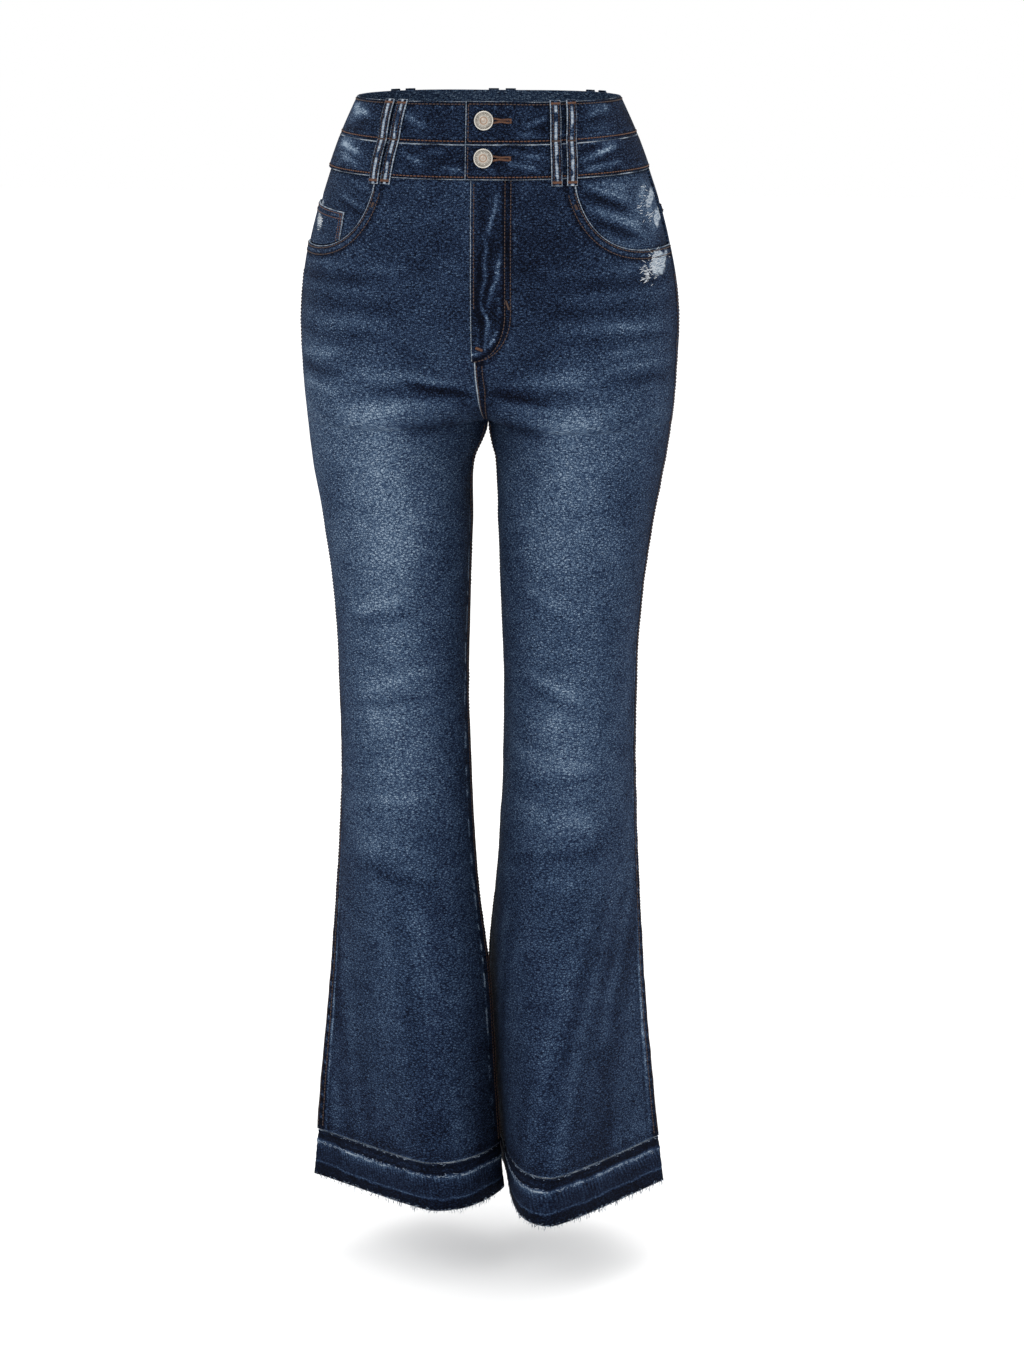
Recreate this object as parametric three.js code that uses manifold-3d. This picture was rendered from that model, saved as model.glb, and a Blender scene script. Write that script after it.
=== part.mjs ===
// Flared jeans, worn shape: a high waist of two bands, scoop pockets, a lapped fly and let-down raw hems.
// Millimetres, +Z up, -Y is the front, +X is the wearer's left. The origin is the centre of the waist opening.
import * as THREE from "three";
import { mergeVertices } from "three/addons/utils/BufferGeometryUtils.js";
import Module from "manifold-3d";

const wasm = await Module();
wasm.setup();

// Driving sizes
const cloth = 1.5;
const pocketCloth = 1.2;
const bandThickness = 2.4;
const bandProud = 0.8;
const seamGap = 0.3;
const crotchZ = -297;
const crotchY = -6;
const crotchArch = 33;
const hemTopZ = -992;
const hemZ = -1037;
const bandSeam = { side: -34, centre: -37.5 };
const waistSeam = { side: -65, centre: -69 };
const yokeSeam = { side: -104, centre: -138 };
const scoop = { startX: 90, flatX: 140, depth: 68, fullness: 2.2 };
const facing = { startX: 80, bottomZ: -148, under: 0.6 };
const coin = { innerX: 122, sideGap: 8, topInnerZ: -101, topSideZ: -95.5, aboveScoop: 1.2 };
const fly = { lap: -2, width: 31, bendZ: -188, bottomZ: -232 };
const flap = { lap: -7, underlap: -24, rampFrom: 26, rampTo: 46 };
const button = { x: 9.6, radius: 8.8, postRadius: 2.4, upperZ: -17, lowerZ: -50 };
const buttonhole = { eye: 3.2, slit: 1.6, length: 22 };
const loop = { width: 9.5, thickness: 1.6, topZ: 1, bottomZ: -74, bow: 1.8 };
const backPocket = { innerS: 40, width: 128, taper: 7, sideZ: -266, pointZ: -283, lift: 1.3 };

// Cross sections, a row per height. outer and inner are the seams' distances from the middle of the body;
// front and back are the depths of the foremost and hindmost points, frontX and backX their distances out;
// point runs from 0, a round side, to 1, a side that closes in a crease; lean leads the inside of the leg outwards.
const columns = ["z", "outer", "inner", "front", "back", "frontX", "backX", "sideY", "inseamY", "point",
  "leanFront", "leanBack"];
const pelvis = [
  [10, 116, 0, -93, 86, 40, 40, 0, crotchY, 0, 0, 0],
  [0, 120, 0, -95, 88, 40, 40, 0, crotchY, 0, 0, 0],
  [-35, 136, 0, -100, 93, 42, 45, 0, crotchY, 0, 0, 0],
  [-68, 148, 0, -104, 98, 45, 52, 0, crotchY, 0, 0, 0],
  [-110, 161, 0, -107, 106, 52, 62, 0, crotchY, 0, 0, 0],
  [-160, 172, 0, -108, 115, 60, 72, 0, crotchY, 0, 0, 0],
  [-206, 176, 0, -107, 118, 68, 80, 0, crotchY, 0, 0, 0],
  [-250, 174, 0, -105, 113, 76, 84, 0, crotchY, 0, 0, 0],
  [-297, 170, 0, -101, 101, 86, 86, 0, crotchY, 0, 0, 0],
];
const legs = {
  right: [
    [-330, 166, 12, -97, 90, 86, 86, -2, -8, 0, 0, 0],
    [-400, 154, 15, -90, 76, 82, 83, -5, -12, 0, 0, 0],
    [-470, 145, 17, -84, 64, 80, 80, -8, -14, 0, 0, 0],
    [-550, 141, 18, -78, 54, 78, 78, -10, -16, 0.05, 0, 0],
    [-640, 140, 15, -75, 50, 76, 77, -12, -18, 0.15, 0, 0],
    [-740, 145, 9, -80, 58, 72, 76, -14, -20, 0.4, 0, 2],
    [-840, 153, -1, -90, 74, 62, 74, -17, -25, 0.7, 2, 8],
    [-940, 162, -8, -102, 90, 51, 70, -20, -32, 0.9, 4, 13],
    [-1037, 170, -16, -114, 104, 38, 66, -23, -38, 1, 6, 16],
    [-1045, 171, -17, -115, 105, 38, 66, -23, -38, 1, 6, 16],
  ],
  left: [
    [-330, 165, 7, -98, 90, 86, 86, -1, -6, 0, 0, 0],
    [-400, 152, 10, -92, 78, 84, 83, -1, -4, 0, 0, 0],
    [-470, 143, 12, -88, 66, 82, 80, -1, 0, 0, 0, 0],
    [-550, 139, 14, -86, 56, 81, 78, -1, 6, 0.05, 0, 0],
    [-640, 139, 12, -88, 50, 80, 78, 0, 12, 0.15, 0, 0],
    [-740, 143, 5, -98, 54, 79, 80, 0, 21, 0.4, 2, 0],
    [-840, 149, -3, -112, 68, 77, 84, 1, 38, 0.7, 12, 0],
    [-940, 158, -3, -128, 84, 76, 88, 1, 51, 0.85, 20, 0],
    [-1037, 169, 5, -142, 100, 75, 92, 2, 58, 0.95, 22, 0],
    [-1045, 170, 6, -143, 101, 75, 92, 2, 58, 0.95, 22, 0],
  ],
};

// The largest creases, as soft troughs: s is the distance along the cloth from the inner seam.
const foldColumns = ["s0", "z0", "s1", "z1", "width", "depth"];
const folds = {
  "right front": [
    [12, -256, 95, -268, 11, 2.6],
    [70, -168, 190, -163, 8, 1.2],
    [60, -186, 200, -180, 8, 1.4],
    [90, -200, 215, -192, 10, 1.5],
    [110, -226, 220, -218, 10, 1.3],
    [40, -600, 130, -590, 14, 1.4],
  ],
  "left front": [
    [10, -262, 90, -276, 11, 2.4],
    [70, -170, 190, -165, 8, 1.2],
    [50, -188, 190, -182, 8, 1.4],
    [90, -204, 215, -196, 10, 1.5],
    [120, -232, 225, -222, 10, 1.3],
    [50, -610, 140, -598, 14, 1.4],
  ],
  "right back": [
    [30, -334, 190, -350, 13, 3.2],
    [60, -374, 200, -364, 12, 2.2],
    [20, -560, 150, -574, 15, 2.4],
    [40, -606, 170, -596, 15, 2.6],
    [90, -780, 130, -1037, 24, 3.6],
  ],
  "left back": [
    [30, -336, 185, -352, 13, 3.0],
    [60, -378, 195, -368, 12, 2.2],
    [25, -566, 155, -578, 15, 2.4],
    [40, -612, 165, -602, 15, 2.6],
    [150, -780, 180, -1037, 24, 3.4],
  ],
};

const smooth = (from, to, x) => {
  const t = Math.min(1, Math.max(0, (x - from) / (to - from)));
  return t * t * (3 - 2 * t);
};
const lerp = (a, b, t) => a + (b - a) * t;

// A table's row at any height, by a cubic through its rows
function rowAt(table, z) {
  const clamped = Math.min(table[0][0], Math.max(table[table.length - 1][0], z));
  let i = 0;
  while (i < table.length - 2 && clamped < table[i + 1][0]) {
    i += 1;
  }
  const slope = (k, c) => (table[k + 1][c] - table[k][c]) / (table[k + 1][0] - table[k][0]);
  const tangent = (k, c) => {
    if (k === 0) {
      return slope(0, c);
    }
    if (k === table.length - 1) {
      return slope(k - 1, c);
    }
    const above = table[k - 1][0] - table[k][0];
    const below = table[k][0] - table[k + 1][0];
    return (slope(k, c) * above + slope(k - 1, c) * below) / (above + below);
  };
  const span = table[i + 1][0] - table[i][0];
  const t = (clamped - table[i][0]) / span;
  const row = {};
  columns.forEach((name, c) => {
    row[name] = (2 * t ** 3 - 3 * t ** 2 + 1) * table[i][c] + (t ** 3 - 2 * t ** 2 + t) * span * tangent(i, c)
      + (-2 * t ** 3 + 3 * t ** 2) * table[i + 1][c] + (t ** 3 - t ** 2) * span * tangent(i + 1, c);
  });
  return row;
}

// A section's outline from the inner seam to the side seam: two cubic curves that meet at the foremost
// (or hindmost) point, on the wearer's left, in plan.
const bodyTables = { right: [...pelvis, ...legs.right], left: [...pelvis, ...legs.left] };
const crotchCurve = { front: { start: -170, power: 3.2 }, back: { start: -185, power: 2.8 } };
const roundness = 0.5523;
function outline(side, face, z) {
  const row = rowAt(bodyTables[side], z);
  const front = face === "front";
  const apex = front ? [row.frontX, row.front] : [row.backX, row.back];
  const curve = crotchCurve[face];
  const down = Math.min(1, Math.max(0, (curve.start - z) / (curve.start - crotchZ)));
  const reach = Math.sqrt(1 - down ** curve.power);
  const opening = Math.sqrt(Math.min(1, Math.max(0, (crotchZ - z) / crotchArch)));
  const inner = [z < crotchZ ? row.inner * opening : 0, lerp(row.inseamY, apex[1], reach)];
  const seam = [row.outer, row.sideY];
  const across = roundness * (1 - smooth(-200, crotchZ, z)) * (apex[0] - inner[0]);
  const along = roundness * smooth(crotchZ, -360, z) * (apex[1] - inner[1]);
  const lean = front ? row.leanFront : row.leanBack;
  const round = 1 - row.point;
  const outX = lerp(roundness, 0.12, row.point) * (seam[0] - apex[0]);
  return [
    [inner, [inner[0] + across + lean, inner[1] + along],
      [apex[0] - roundness * (apex[0] - inner[0]), apex[1]], apex],
    [apex, [apex[0] + outX, apex[1]],
      [seam[0] - 0.34 * row.point * (seam[0] - apex[0]),
        seam[1] - (roundness * round + 0.34 * row.point) * (seam[1] - apex[1])], seam],
  ];
}

function onCubic(points, t) {
  const s = 1 - t;
  const weights = [s ** 3, 3 * s * s * t, 3 * s * t * t, t ** 3];
  return [0, 1].map((axis) => points.reduce((sum, point, k) => sum + weights[k] * point[axis], 0));
}

// The outline with its arc length, kept for each height that is asked for
const steps = 40;
const outlines = new Map();
function measured(side, face, z) {
  const key = `${side} ${face} ${z}`;
  if (!outlines.has(key)) {
    const cubics = outline(side, face, z);
    const lengths = [0];
    let last = cubics[0][0];
    for (let k = 1; k <= 2 * steps; k += 1) {
      const next = k <= steps ? onCubic(cubics[0], k / steps) : onCubic(cubics[1], k / steps - 1);
      lengths.push(lengths[k - 1] + Math.hypot(next[0] - last[0], next[1] - last[1]));
      last = next;
    }
    outlines.set(key, { cubics, lengths, total: lengths[2 * steps] });
  }
  return outlines.get(key);
}

// u runs from 0 at the inner seam to 1 at the side seam, by arc length
function basePoint(side, face, u, z) {
  const { cubics, lengths, total } = measured(side, face, z);
  const want = u * total;
  let k = 0;
  while (k < 2 * steps - 1 && lengths[k + 1] < want) {
    k += 1;
  }
  const along = (k + (want - lengths[k]) / (lengths[k + 1] - lengths[k])) / steps;
  const [x, y] = along <= 1 ? onCubic(cubics[0], along) : onCubic(cubics[1], along - 1);
  return new THREE.Vector3(side === "right" ? -x : x, y, z);
}

function faceNormal(side, face, u, z) {
  const du = 0.004;
  const dz = 0.6;
  const u0 = Math.max(0, u - du);
  const u1 = Math.min(1, u + du);
  const across = basePoint(side, face, u1, z).sub(basePoint(side, face, u0, z));
  const up = basePoint(side, face, u, z + dz).sub(basePoint(side, face, u, z - dz));
  const normal = across.cross(up).normalize();
  const turned = (side === "right") === (face === "front");
  return turned ? normal.negate() : normal;
}

// A seam's two sides share one normal, so that their walls end face to face
const seamBlend = 4;
function bodyNormal(side, face, u, z) {
  const own = faceNormal(side, face, u, z);
  const length = measured(side, face, z).total;
  const toSide = (1 - u) * length;
  const toInner = u * length;
  if (Math.min(toSide, toInner) > seamBlend) {
    return { normal: own, stretch: 1 };
  }
  const other = face === "front" ? "back" : "front";
  let shared = own.clone();
  if (toSide < toInner) {
    shared.add(faceNormal(side, other, 1, z));
  } else if (Math.abs(z - crotchZ) < 0.5) {
    shared = new THREE.Vector3(0, 0, -1);
  } else if (z > crotchZ) {
    shared.x = 0;
  } else {
    shared.add(faceNormal(side, other, 0, z));
  }
  shared.normalize();
  const near = 1 - Math.min(toSide, toInner) / seamBlend;
  const normal = own.clone().lerp(shared, near).normalize();
  return { normal, stretch: 1 / Math.max(0.6, normal.dot(own)) };
}

function foldAt(side, face, u, z) {
  const s = u * measured(side, face, z).total;
  let height = 0;
  for (const values of folds[`${side} ${face}`]) {
    const fold = Object.fromEntries(foldColumns.map((name, c) => [name, values[c]]));
    const run = [fold.s1 - fold.s0, fold.z1 - fold.z0];
    const reach = run[0] ** 2 + run[1] ** 2;
    const t = Math.min(1, Math.max(0, ((s - fold.s0) * run[0] + (z - fold.z0) * run[1]) / reach));
    const away = Math.hypot(s - fold.s0 - t * run[0], z - fold.z0 - t * run[1]);
    height -= fold.depth * Math.exp(-((away / fold.width) ** 2));
  }
  return height;
}

// A point of the garment: on the body's surface, with its creases, moved out by offset
function onBody(side, face, u, z, offset) {
  const { normal, stretch } = bodyNormal(side, face, u, z);
  const out = foldAt(side, face, u, z) + offset;
  return basePoint(side, face, u, z).addScaledVector(normal, out * stretch);
}

// Round the waist: s is the distance from the centre front towards the given side, and past the side seam
// to the back; a negative s crosses the centre.
const otherSide = { right: "left", left: "right" };
function aroundWaist(side, s, z, offset) {
  if (s < 0) {
    return onBody(otherSide[side], "front", -s / measured(otherSide[side], "front", z).total, z, offset);
  }
  const front = measured(side, "front", z).total;
  if (s <= front) {
    return onBody(side, "front", s / front, z, offset);
  }
  return onBody(side, "back", 1 - (s - front) / measured(side, "back", z).total, z, offset);
}

// The share u at which a section is x from the middle of the body
function shareAtX(side, face, x, z) {
  let low = 0;
  let high = 1;
  for (let k = 0; k < 30; k += 1) {
    const middle = (low + high) / 2;
    if (Math.abs(basePoint(side, face, middle, z).x) < x) {
      low = middle;
    } else {
      high = middle;
    }
  }
  return low;
}

// A closed wall between an outer and an inner grid of points
function wallGeometry(across, down, outerPoint, innerPoint) {
  const positions = [];
  const width = across + 1;
  for (const point of [outerPoint, innerPoint]) {
    for (let j = 0; j <= down; j += 1) {
      for (let i = 0; i <= across; i += 1) {
        positions.push(...point(i / across, j / down, i, j).toArray());
      }
    }
  }
  const index = [];
  const quad = (a, b, c, d) => index.push(a, b, c, a, c, d);
  const outer = (i, j) => j * width + i;
  const inner = (i, j) => (down + 1) * width + j * width + i;
  for (let j = 0; j < down; j += 1) {
    for (let i = 0; i < across; i += 1) {
      quad(outer(i, j), outer(i, j + 1), outer(i + 1, j + 1), outer(i + 1, j));
      quad(inner(i, j), inner(i + 1, j), inner(i + 1, j + 1), inner(i, j + 1));
    }
  }
  for (let i = 0; i < across; i += 1) {
    quad(outer(i, 0), outer(i + 1, 0), inner(i + 1, 0), inner(i, 0));
    quad(outer(i + 1, down), outer(i, down), inner(i, down), inner(i + 1, down));
  }
  for (let j = 0; j < down; j += 1) {
    quad(outer(0, j + 1), outer(0, j), inner(0, j), inner(0, j + 1));
    quad(outer(across, j), outer(across, j + 1), inner(across, j + 1), inner(across, j));
  }
  return facingOut(positions, index);
}

function facingOut(positions, index) {
  let volume = 0;
  const corner = (k) => new THREE.Vector3().fromArray(positions, 3 * index[k]);
  for (let k = 0; k < index.length; k += 3) {
    volume += corner(k).dot(corner(k + 1).cross(corner(k + 2)));
  }
  if (volume < 0) {
    for (let k = 0; k < index.length; k += 3) {
      [index[k + 1], index[k + 2]] = [index[k + 2], index[k + 1]];
    }
  }
  const geometry = new THREE.BufferGeometry();
  geometry.setAttribute("position", new THREE.Float32BufferAttribute(positions, 3));
  geometry.setIndex(index);
  return geometry;
}

const denim = new THREE.MeshStandardMaterial({ color: 0x2a3c5c, roughness: 0.9 });
const rawDenim = new THREE.MeshStandardMaterial({ color: 0x141c30, roughness: 0.95 });
const metal = new THREE.MeshStandardMaterial({ color: 0xc9c6bd, roughness: 0.35, metalness: 1 });
const jeans = new THREE.Group();
jeans.name = "flared_jeans";

function addPiece(name, geometry, material = denim) {
  const piece = new THREE.Mesh(geometry, material);
  piece.name = name;
  jeans.add(piece);
}

// Seam lines as heights
function centreWeight(face, u) {
  return face === "front" ? Math.cos((Math.PI / 2) * Math.min(1, Math.abs(u))) ** 2 : 0;
}
const bandSeamZ = (face, u) => lerp(bandSeam.side, bandSeam.centre, centreWeight(face, u));
const waistSeamZ = (face, u) => lerp(waistSeam.side, waistSeam.centre, centreWeight(face, u));
const yokeSeamZ = (u) => lerp(yokeSeam.centre, yokeSeam.side, u);

// The pocket mouth: down from the waist in a full quarter round, then level to the side seam
function scoopZ(side, u) {
  const top = waistSeamZ("front", u);
  const x = Math.abs(basePoint(side, "front", u, top).x);
  const span = scoop.flatX - scoop.startX;
  const left = Math.min(1, Math.max(0, (scoop.flatX - x) / span));
  return left >= 1 ? top : top - scoop.depth * (1 - left ** scoop.fullness) ** (1 / scoop.fullness);
}

// Leg panels. Below their shaped tops the rows are level, close together at the crotch.
const levelRows = [-150, -172, -194, -216, -236, -253, -267, -278, -286, -292, -295.5, crotchZ, -298.5, -302, -308,
  -317, -330];
const lowerRows = 19;
const topRows = 3;
const panelColumns = 12;
const trimmed = (u, length) => lerp(seamGap / 2 / length, 1 - seamGap / 2 / length, u);

function panelRows(topZ) {
  const rows = [];
  for (let j = 0; j < topRows; j += 1) {
    rows.push(lerp(topZ, levelRows[0], j / topRows));
  }
  rows.push(...levelRows);
  const last = levelRows[levelRows.length - 1];
  for (let j = 1; j <= lowerRows; j += 1) {
    rows.push(lerp(last, hemTopZ, j / lowerRows));
  }
  return rows;
}

function addPanel(name, side, face, topAt) {
  const rows = panelRows(0).length - 1;
  const point = (offset) => (u, v, i, j) => {
    const z = panelRows(topAt(u))[j];
    return onBody(side, face, trimmed(u, measured(side, face, z).total), z, offset);
  };
  addPiece(name, wallGeometry(panelColumns, rows, point(0), point(-cloth)));
}

// A point over a panel's own flat facets, so that what lies on the panel follows them
function onPanel(side, face, u, z, offset) {
  const length = measured(side, face, z).total;
  const end = seamGap / 2 / length;
  const place = Math.min(panelColumns, Math.max(0, (u - end) / (1 - 2 * end) * panelColumns));
  const column = Math.min(panelColumns - 1, Math.floor(place));
  const near = onBody(side, face, trimmed(column / panelColumns, length), z, offset);
  const far = onBody(side, face, trimmed((column + 1) / panelColumns, length), z, offset);
  return near.lerp(far, place - column);
}

// Shares from start to end, with the panel's own column lines between them
function sharesBetween(start, end, innerStart = start, innerEnd = end) {
  const shares = [start];
  for (let k = 1; k < panelColumns; k += 1) {
    const line = k / panelColumns;
    if (line > innerStart + 0.01 && line < innerEnd - 0.01) {
      shares.push(line);
    }
  }
  return [...shares, end];
}

// A patch that lies on (or under) a panel: sharesAt gives a row's columns, heightAt each point's height
function patch(side, face, down, sharesAt, heightAt, outerOffset, thickness) {
  const point = (offset) => (s, t, i) => {
    const u = sharesAt(t)[i];
    return onPanel(side, face, u, heightAt(u, t), offset);
  };
  return wallGeometry(sharesAt(0).length - 1, down, point(outerOffset), point(outerOffset - thickness));
}

function addLeg(side) {
  addPanel(`front_${side}`, side, "front", (u) => scoopZ(side, u) - seamGap);
  addPanel(`back_${side}`, side, "back", (u) => yokeSeamZ(u) - seamGap);
  for (const face of ["front", "back"]) {
    const point = (offset) => (s, t) => {
      const z = lerp(hemTopZ - seamGap, hemZ, t);
      return onBody(side, face, trimmed(s, measured(side, face, z).total), z, offset);
    };
    addPiece(`hem_${face}_${side}`, wallGeometry(panelColumns, 2, point(0), point(-cloth)), rawDenim);
  }
}

function addYoke(side) {
  const point = (offset) => (s, t) => {
    const z = lerp(waistSeam.side - seamGap, yokeSeamZ(s), t);
    return onBody(side, "back", trimmed(s, measured(side, "back", z).total), z, offset);
  };
  addPiece(`yoke_${side}`, wallGeometry(panelColumns, 3, point(0), point(-cloth)));
}

function addPocketFacing(side) {
  const start = shareAtX(side, "front", facing.startX, waistSeam.side);
  const shares = sharesBetween(start, 1);
  const height = (u, t) => lerp(waistSeamZ("front", u) - seamGap, facing.bottomZ, t);
  addPiece(`pocket_facing_${side}`, patch(side, "front", 6, () => shares, height, -cloth - facing.under,
    pocketCloth));
}

function addCoinPocket(side) {
  const start = shareAtX(side, "front", coin.innerX, coin.topInnerZ);
  const end = 1 - coin.sideGap / measured(side, "front", coin.topSideZ).total;
  const shares = sharesBetween(start, end);
  const height = (u, t) => {
    const top = lerp(coin.topInnerZ, coin.topSideZ, (u - start) / (end - start));
    return lerp(top, scoopZ(side, u) + coin.aboveScoop, t);
  };
  addPiece("coin_pocket", patch(side, "front", 3, () => shares, height,
    pocketCloth + seamGap - cloth - facing.under, pocketCloth));
}

// The fly lies on the left front from the lap's edge, just past the centre, to its curved stitching
const flyColumns = [0, 0.5, 0.78, 0.94, 1];
function addFly() {
  const bottomAt = (share) => lerp(fly.bendZ, fly.bottomZ, Math.sqrt(1 - share ** 2));
  const point = (offset) => (s, t, i) => {
    const share = i === 0 ? 0 : flyColumns[i - 1];
    const z = lerp(waistSeam.centre - seamGap, bottomAt(share), t);
    const side = i === 0 ? "right" : "left";
    const out = i === 0 ? -fly.lap : share * fly.width;
    return onPanel(side, "front", out / measured(side, "front", z).total, z, offset);
  };
  addPiece("fly", wallGeometry(flyColumns.length, 9, point(seamGap + pocketCloth), point(seamGap)));
}

function addBackPocket(side) {
  const rows = levelRows.slice(0, 6);
  const girth = measured(side, "back", rows[0]).total;
  const edge = (t) => [backPocket.innerS + backPocket.taper * t,
    backPocket.innerS + backPocket.width - backPocket.taper * t].map((s) => s / girth);
  const shares = (t) => sharesBetween(...edge(t), ...edge(1));
  const middle = (edge(0)[0] + edge(0)[1]) / 2;
  const height = (u, t) => {
    const away = Math.min(1, Math.abs(u - middle) / (middle - edge(0)[0]));
    const bottom = lerp(backPocket.pointZ, backPocket.sideZ, away);
    const last = rows[rows.length - 1];
    return [...rows, lerp(last, bottom, 0.5), bottom][Math.round(t * (rows.length + 1))];
  };
  const geometry = patch(side, "back", rows.length + 1, shares, height, backPocket.lift + pocketCloth, pocketCloth);
  addPiece(`back_pocket_${side}`, geometry);
}

// Waistbands. The left ends lap over the right ends, raised by one band, and a slit in each takes a button.
function bandGeometry(side, topAt, bottomAt) {
  const left = side === "left";
  const ends = left ? [flap.lap, 0, 8, 16, 24, 35, 46] : [flap.underlap, -16, -8, 0, -flap.lap, 20, 34, 48];
  const across = 28;
  const point = (offset) => (s, t, i) => {
    const along = (z) => measured(side, "front", z).total + measured(side, "back", z).total - seamGap / 2;
    const place = (z) => (i < ends.length ? ends[i]
      : lerp(ends[ends.length - 1], along(z), (i - ends.length + 1) / (across - ends.length + 1)));
    const front = measured(side, "front", topAt("front", 0)).total;
    const guess = place(0);
    const face = guess <= front ? "front" : "back";
    const z = lerp(topAt(face, guess / front), bottomAt(face, guess / front), t);
    const out = place(z);
    const raised = left ? 1 - smooth(flap.rampFrom, flap.rampTo, out) : 0;
    return aroundWaist(side, out, z, offset + raised * (bandThickness + seamGap));
  };
  return wallGeometry(across, 3, point(bandProud), point(bandProud - bandThickness));
}

function toSolid(geometry) {
  const bare = geometry.index ? geometry.clone() : geometry;
  bare.deleteAttribute("normal");
  bare.deleteAttribute("uv");
  const merged = mergeVertices(bare, 1e-4);
  return new wasm.Manifold(new wasm.Mesh({
    numProp: 3,
    vertProperties: new Float32Array(merged.attributes.position.array),
    triVerts: new Uint32Array(merged.index.array),
  }));
}

function fromSolid(solid) {
  const mesh = solid.getMesh();
  const geometry = new THREE.BufferGeometry();
  geometry.setAttribute("position", new THREE.BufferAttribute(new Float32Array(mesh.vertProperties), 3));
  geometry.setIndex(new THREE.BufferAttribute(new Uint32Array(mesh.triVerts), 1));
  return geometry;
}

// Where a button stands: on the lapped band, square to it
function buttonFrame(z) {
  const share = shareAtX("left", "front", button.x, z);
  const origin = onBody("left", "front", share, z, 0);
  const { normal } = bodyNormal("left", "front", share, z);
  const turn = new THREE.Quaternion().setFromUnitVectors(new THREE.Vector3(0, 1, 0), normal);
  return { origin, normal, turn };
}

// A keyhole: a round eye for the shank, and a slit away from the lap's edge
function buttonholeSolid(z) {
  const half = buttonhole.slit / 2;
  const start = Math.asin(half / buttonhole.eye);
  const shape = new THREE.Shape();
  shape.absarc(0, 0, buttonhole.eye, start, 2 * Math.PI - start, false);
  shape.lineTo(buttonhole.length, -half);
  shape.lineTo(buttonhole.length, half);
  const deep = 12;
  const geometry = new THREE.ExtrudeGeometry(shape, { depth: deep, bevelEnabled: false, curveSegments: 14 });
  const { origin, normal } = buttonFrame(z);
  const across = new THREE.Vector3(0, 0, 1).cross(normal).normalize();
  const up = normal.clone().cross(across);
  const place = new THREE.Matrix4().makeBasis(across, up, normal);
  place.setPosition(origin.clone().addScaledVector(normal, -deep / 2 + bandThickness));
  return toSolid(geometry.applyMatrix4(place));
}

function addButton(name, z) {
  const bottom = bandProud + seamGap;
  const under = bandProud + bandThickness + 2 * seamGap;
  const r = button.radius;
  const profile = [
    [0, bottom], [button.postRadius, bottom], [button.postRadius, under], [r * 0.93, under],
    [r, under + 0.7], [r, under + 1.3], [r * 0.95, under + 1.9], [r * 0.84, under + 2.1],
    [r * 0.76, under + 1.7], [r * 0.4, under + 1.8], [0, under + 1.9],
  ].map(([x, y]) => new THREE.Vector2(x, y));
  const { origin, turn } = buttonFrame(z);
  const geometry = mergeVertices(stripped(new THREE.LatheGeometry(profile, 24)), 1e-4);
  geometry.applyMatrix4(new THREE.Matrix4().compose(origin, turn, new THREE.Vector3(1, 1, 1)));
  addPiece(name, facingOut(Array.from(geometry.attributes.position.array), solidIndex(geometry)), metal);
}

function stripped(geometry) {
  geometry.deleteAttribute("normal");
  geometry.deleteAttribute("uv");
  return geometry;
}

// The index without the slivers that a lathe leaves on its axis
function solidIndex(geometry) {
  const index = Array.from(geometry.index.array);
  const kept = [];
  for (let k = 0; k < index.length; k += 3) {
    const [a, b, c] = index.slice(k, k + 3);
    if (a !== b && b !== c && a !== c) {
      kept.push(a, b, c);
    }
  }
  return kept;
}

function addWaistbands() {
  const topOf = () => 0;
  const upperBottom = (face, u) => bandSeamZ(face, u) + seamGap / 2;
  const lowerTop = (face, u) => bandSeamZ(face, u) - seamGap / 2;
  for (const side of ["right", "left"]) {
    let upper = bandGeometry(side, topOf, upperBottom);
    let lower = bandGeometry(side, lowerTop, waistSeamZ);
    if (side === "left") {
      upper = fromSolid(toSolid(upper).subtract(buttonholeSolid(button.upperZ)));
      lower = fromSolid(toSolid(lower).subtract(buttonholeSolid(button.lowerZ)));
    }
    addPiece(`waistband_upper_${side}`, upper);
    addPiece(`waistband_lower_${side}`, lower);
  }
  addButton("button_upper", button.upperZ);
  addButton("button_lower", button.lowerZ);
}

// Belt loops: narrow straps in pairs, tacked at the top, at the band seam and at the bottom
function addLoop(name, side, face, topX, bottomX) {
  const ribs = 8;
  const height = (t) => lerp(loop.topZ, loop.bottomZ, t);
  const arch = (t) => {
    const tack = (bandSeam.side - loop.topZ) / (loop.bottomZ - loop.topZ);
    const part = t < tack ? t / tack : (t - tack) / (1 - tack);
    return loop.bow * Math.sin(Math.PI * part);
  };
  const centre = (t) => {
    const z = height(t);
    return shareAtX(side, face, lerp(topX, bottomX, t), z) * measured(side, face, z).total;
  };
  const point = (offset) => (s, t) => {
    const z = height(t);
    const share = (centre(t) + (s - 0.5) * loop.width) / measured(side, face, z).total;
    return onBody(side, face, share, z, bandProud + seamGap + arch(t) + offset);
  };
  addPiece(name, wallGeometry(1, ribs, point(loop.thickness), point(0)));
}

const frontLoops = { right: [[64, 80], [76, 91]], left: [[71, 75], [84, 88]] };
const backLoops = [[84, 92], [96, 105]];
const centreLoopX = 8;
function addLoops() {
  for (const side of ["right", "left"]) {
    frontLoops[side].forEach(([top, bottom], k) => addLoop(`loop_front_${side}_${k + 1}`, side, "front", top, bottom));
    backLoops.forEach(([top, bottom], k) => addLoop(`loop_back_${side}_${k + 1}`, side, "back", top, bottom));
  }
  addLoop("loop_centre_1", "right", "back", centreLoopX, centreLoopX);
  addLoop("loop_centre_2", "left", "back", centreLoopX, centreLoopX);
}

for (const side of ["right", "left"]) {
  addLeg(side);
  addYoke(side);
  addPocketFacing(side);
  addBackPocket(side);
}
addCoinPocket("right");
addFly();
addWaistbands();
addLoops();

export default jeans;
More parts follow.
